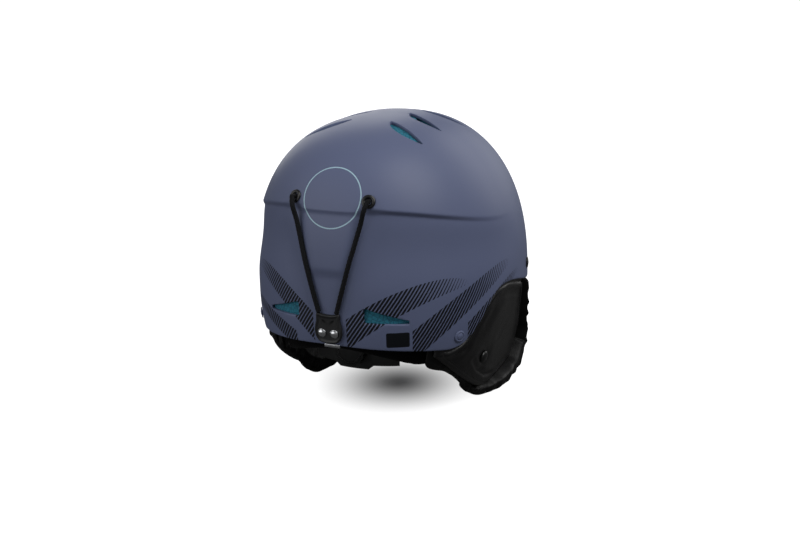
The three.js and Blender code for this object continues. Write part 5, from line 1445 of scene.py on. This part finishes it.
# From the divider to the buckle: each place with its way out
def crossingStations():
    v = strapValues
    places = [mix(v["crossFrom"], v["crossTo"], share) for share in v["crossings"]]
    found = []
    for place in map(float, (*places, v["tongueBack"] + v["intoTongue"])):
        share = float(ease(-place, -v["crossFrom"], -v["crossTo"]))
        start = padPoint(place, v["level"], v["sink"])
        out = mix(padNormal(place, v["level"]), np.array([1.0, 0, 0]), share)
        found.append((np.array([mix(start[0], v["half"], share), place, v["level"]]), unit(out)))
    return found


def makeStrap(node, stations, steps):
    v = strapValues
    points, outs = (smoothLine(values, steps, False) for values in zip(*stations))
    piece = sweep(node + "_fine", points, bandSection(v["width"], v["thickness"]), unit(outs))
    return dress(shade(piece, 50), webbing, node)


def makeStraps():
    v = strapValues
    stations = [(point * [-1, 1, 1], out * [-1, 1, 1]) for point, out in crossingStations()]
    reach = v["half"] - v["corner"]
    for turnFrom, centre in ((180, -reach), (270, reach)):
        for i in range(v["cornerSteps"] + 1):
            angle = math.radians(turnFrom + 90 * i / v["cornerSteps"])
            out = np.array([math.cos(angle), math.sin(angle), 0])
            stations.append((np.array([centre, v["front"] + v["corner"], v["level"]]) + out * v["corner"], out))
    end = v["socketMouth"] - v["socketLength"] - v["socketGap"]
    stations.append((np.array([v["half"], end, v["level"]]), np.array([1.0, 0, 0])))
    makeStrap("chin_strap", stations, 4)
    piece = makeStrap("buckle_strap", crossingStations(), 6)
    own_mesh(piece)


# Lays the weave on a strap's flat side, in millimetres
def mapFlat(piece):
    layer = piece.data.uv_layers.new(name="flat")
    for corner, spot in zip(piece.data.loops, layer.data):
        place = piece.data.vertices[corner.vertex_index].co
        spot.uv = (place.z / mm, place.y / mm)


makeStraps()
for name in sides:
    for leg in ("front_leg_", "rear_leg_"):
        mapFlat(refined(leg + name, webbing, 0.3))
    refined("strap_divider_" + name, nylon, 0.6)
refined("buckle_socket", nylon, 0.7)
refined("buckle_tongue", nylon, 0.7, "tongue")
refined("strap_slider", nylon, 0.5)
print("straps made")

# Fit adjuster

for node, bevel in ("fit_housing", 1.2), ("fit_back_plate", 0.5), ("cradle_stem", 0.7):
    refined(node, nylon, bevel)
refined("fit_dial", acetal, 0.4, "dial")
for name in sides:
    refined("band_guide_" + name, nylon, 0.4)
    refined("fit_band_" + name, acetal, 0.12, "band_" + name)
    refined("plate_screw_" + name, zinc, 0.2)

gripValues = {
    "face": 92.1, "radius": 10.6, "pitch": 1.5, "length": 2.8, "width": 0.7, "height": 0.9, "lift": 0,
    "spokes": 96,
}


# Fine ribs on the dial's face, for a gloved finger
def makeGrip():
    v = gripValues
    angles = np.linspace(0, 2 * math.pi, v["spokes"], endpoint=False)
    spokes = np.stack([np.cos(angles), 0 * angles, np.sin(angles)], 1)
    line = toWorld(spokes * v["radius"] + [0, v["face"], dialHeight])
    faces = np.zeros(spokes.shape) + [0, 1, 0]
    ribs = grown("dial_grip", bars, line, barSizes(v), acetal, {"face": faces, "along": spokes}, True)
    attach(ribs, "dial")


makeGrip()
print("fit adjuster made")

# Floor, light and backdrop

lightValues = {
    "floorRadius": 6, "floorLevel": -0.0002, "floorSides": 96,      # metres, just under the feet
    "floor": "#a6a6a8",
    "floorSeen": 0.1,       # grey that the floor sends back on the object
    # painted shadow: the floor's own light is none near the helmet, which darkens a disc of floor under it beyond the
    # lamps' shadow
    "glow": (0.0, 1.0),     # the floor's own light near the helmet and away from it
    "paintedShadowReach": (0.0, 0.09),
    "world": 0.12,
    "worldShine": 0.2,
    # height of the helmet's middle in metres, and each lamp's place from it, size and power
    "middle": 0.12,
    "lamps": (
        ((-1.1, 0.28, 1.44), 1.6, 24), ((1.1, -1.4, 0.6), 1.4, 8), ((-0.6, -1.7, 0.6), 1.4, 6),
        ((1.05, 1.5, 0.62), 2.2, 15),
    ),
}
white = (1, 1, 1, 1)


# One where the camera looks straight at it or through something clear
def seenBy(tree):
    path = addNode(tree, "LightPath").outputs
    return put(tree, "Math:MAXIMUM", path["Is Camera Ray"], path["Is Transmission Ray"]), path


def makeWorld():
    world = bpy.data.worlds.new("studio")
    bpy.context.scene.world = world
    world.use_nodes = True
    tree = world.node_tree
    seen, path = seenBy(tree)
    shine = put(tree, "Math:MULTIPLY", path["Is Glossy Ray"], lightValues["worldShine"])
    strength = put(tree, "Math:MAXIMUM", put(tree, "Math:MAXIMUM", seen, shine), lightValues["world"])
    back = tree.nodes["Background"].inputs
    back["Color"].default_value = white
    tree.links.new(strength, back["Strength"])


def makeFloor():
    v = lightValues
    sides, radius = v["floorSides"], v["floorRadius"]
    angles = [2 * math.pi * k / sides for k in range(sides)]
    points = [(radius * math.cos(a), radius * math.sin(a), v["floorLevel"]) for a in angles]
    mesh = bpy.data.meshes.new("floor")
    mesh.from_pydata(points, [], [range(sides)])
    material, tree, shader, where = newMaterial("painted_floor", v["floor"], 0.9, Specular_IOR_Level=0.05)
    seen = seenBy(tree)[0]
    blended(tree, shader, seen, (v["floorSeen"],) * 3 + (1,), v["floor"])
    # Painted shadow: the floor's own light, seen by the camera, fades out towards the helmet, so the floor under it
    # stays darker than the lamps alone would leave it
    reach = addNode(tree, "VectorMath:LENGTH", where["Object"]).outputs["Value"]
    span = dict(zip((0, 1, 2, 3, 4), (reach, *v["paintedShadowReach"], *v["glow"])))
    rise = put(tree, "MapRange", span, interpolation_type="SMOOTHSTEP")
    shader["Emission Color"].default_value = white
    tree.links.new(put(tree, "Math:MULTIPLY", seen, rise), shader["Emission Strength"])
    mesh.materials.append(material)
    floor = newObject("floor", mesh)


def makeLamps():
    for i, (place, size, power) in enumerate(lightValues["lamps"]):
        light = bpy.data.lights.new("softbox_%d" % i, "AREA")
        light.shape, light.size, light.energy = "DISK", size, power
        holder = newObject(light.name, light)
        holder.location = Vector(place) + Vector((0, 0, lightValues["middle"]))
        holder.rotation_mode = "QUATERNION"
        holder.rotation_quaternion = Vector(place).to_track_quat("Z", "Y")


makeWorld()
makeFloor()
makeLamps()
scene = bpy.context.scene
scene.view_settings.view_transform = "Standard"
print("stage made")
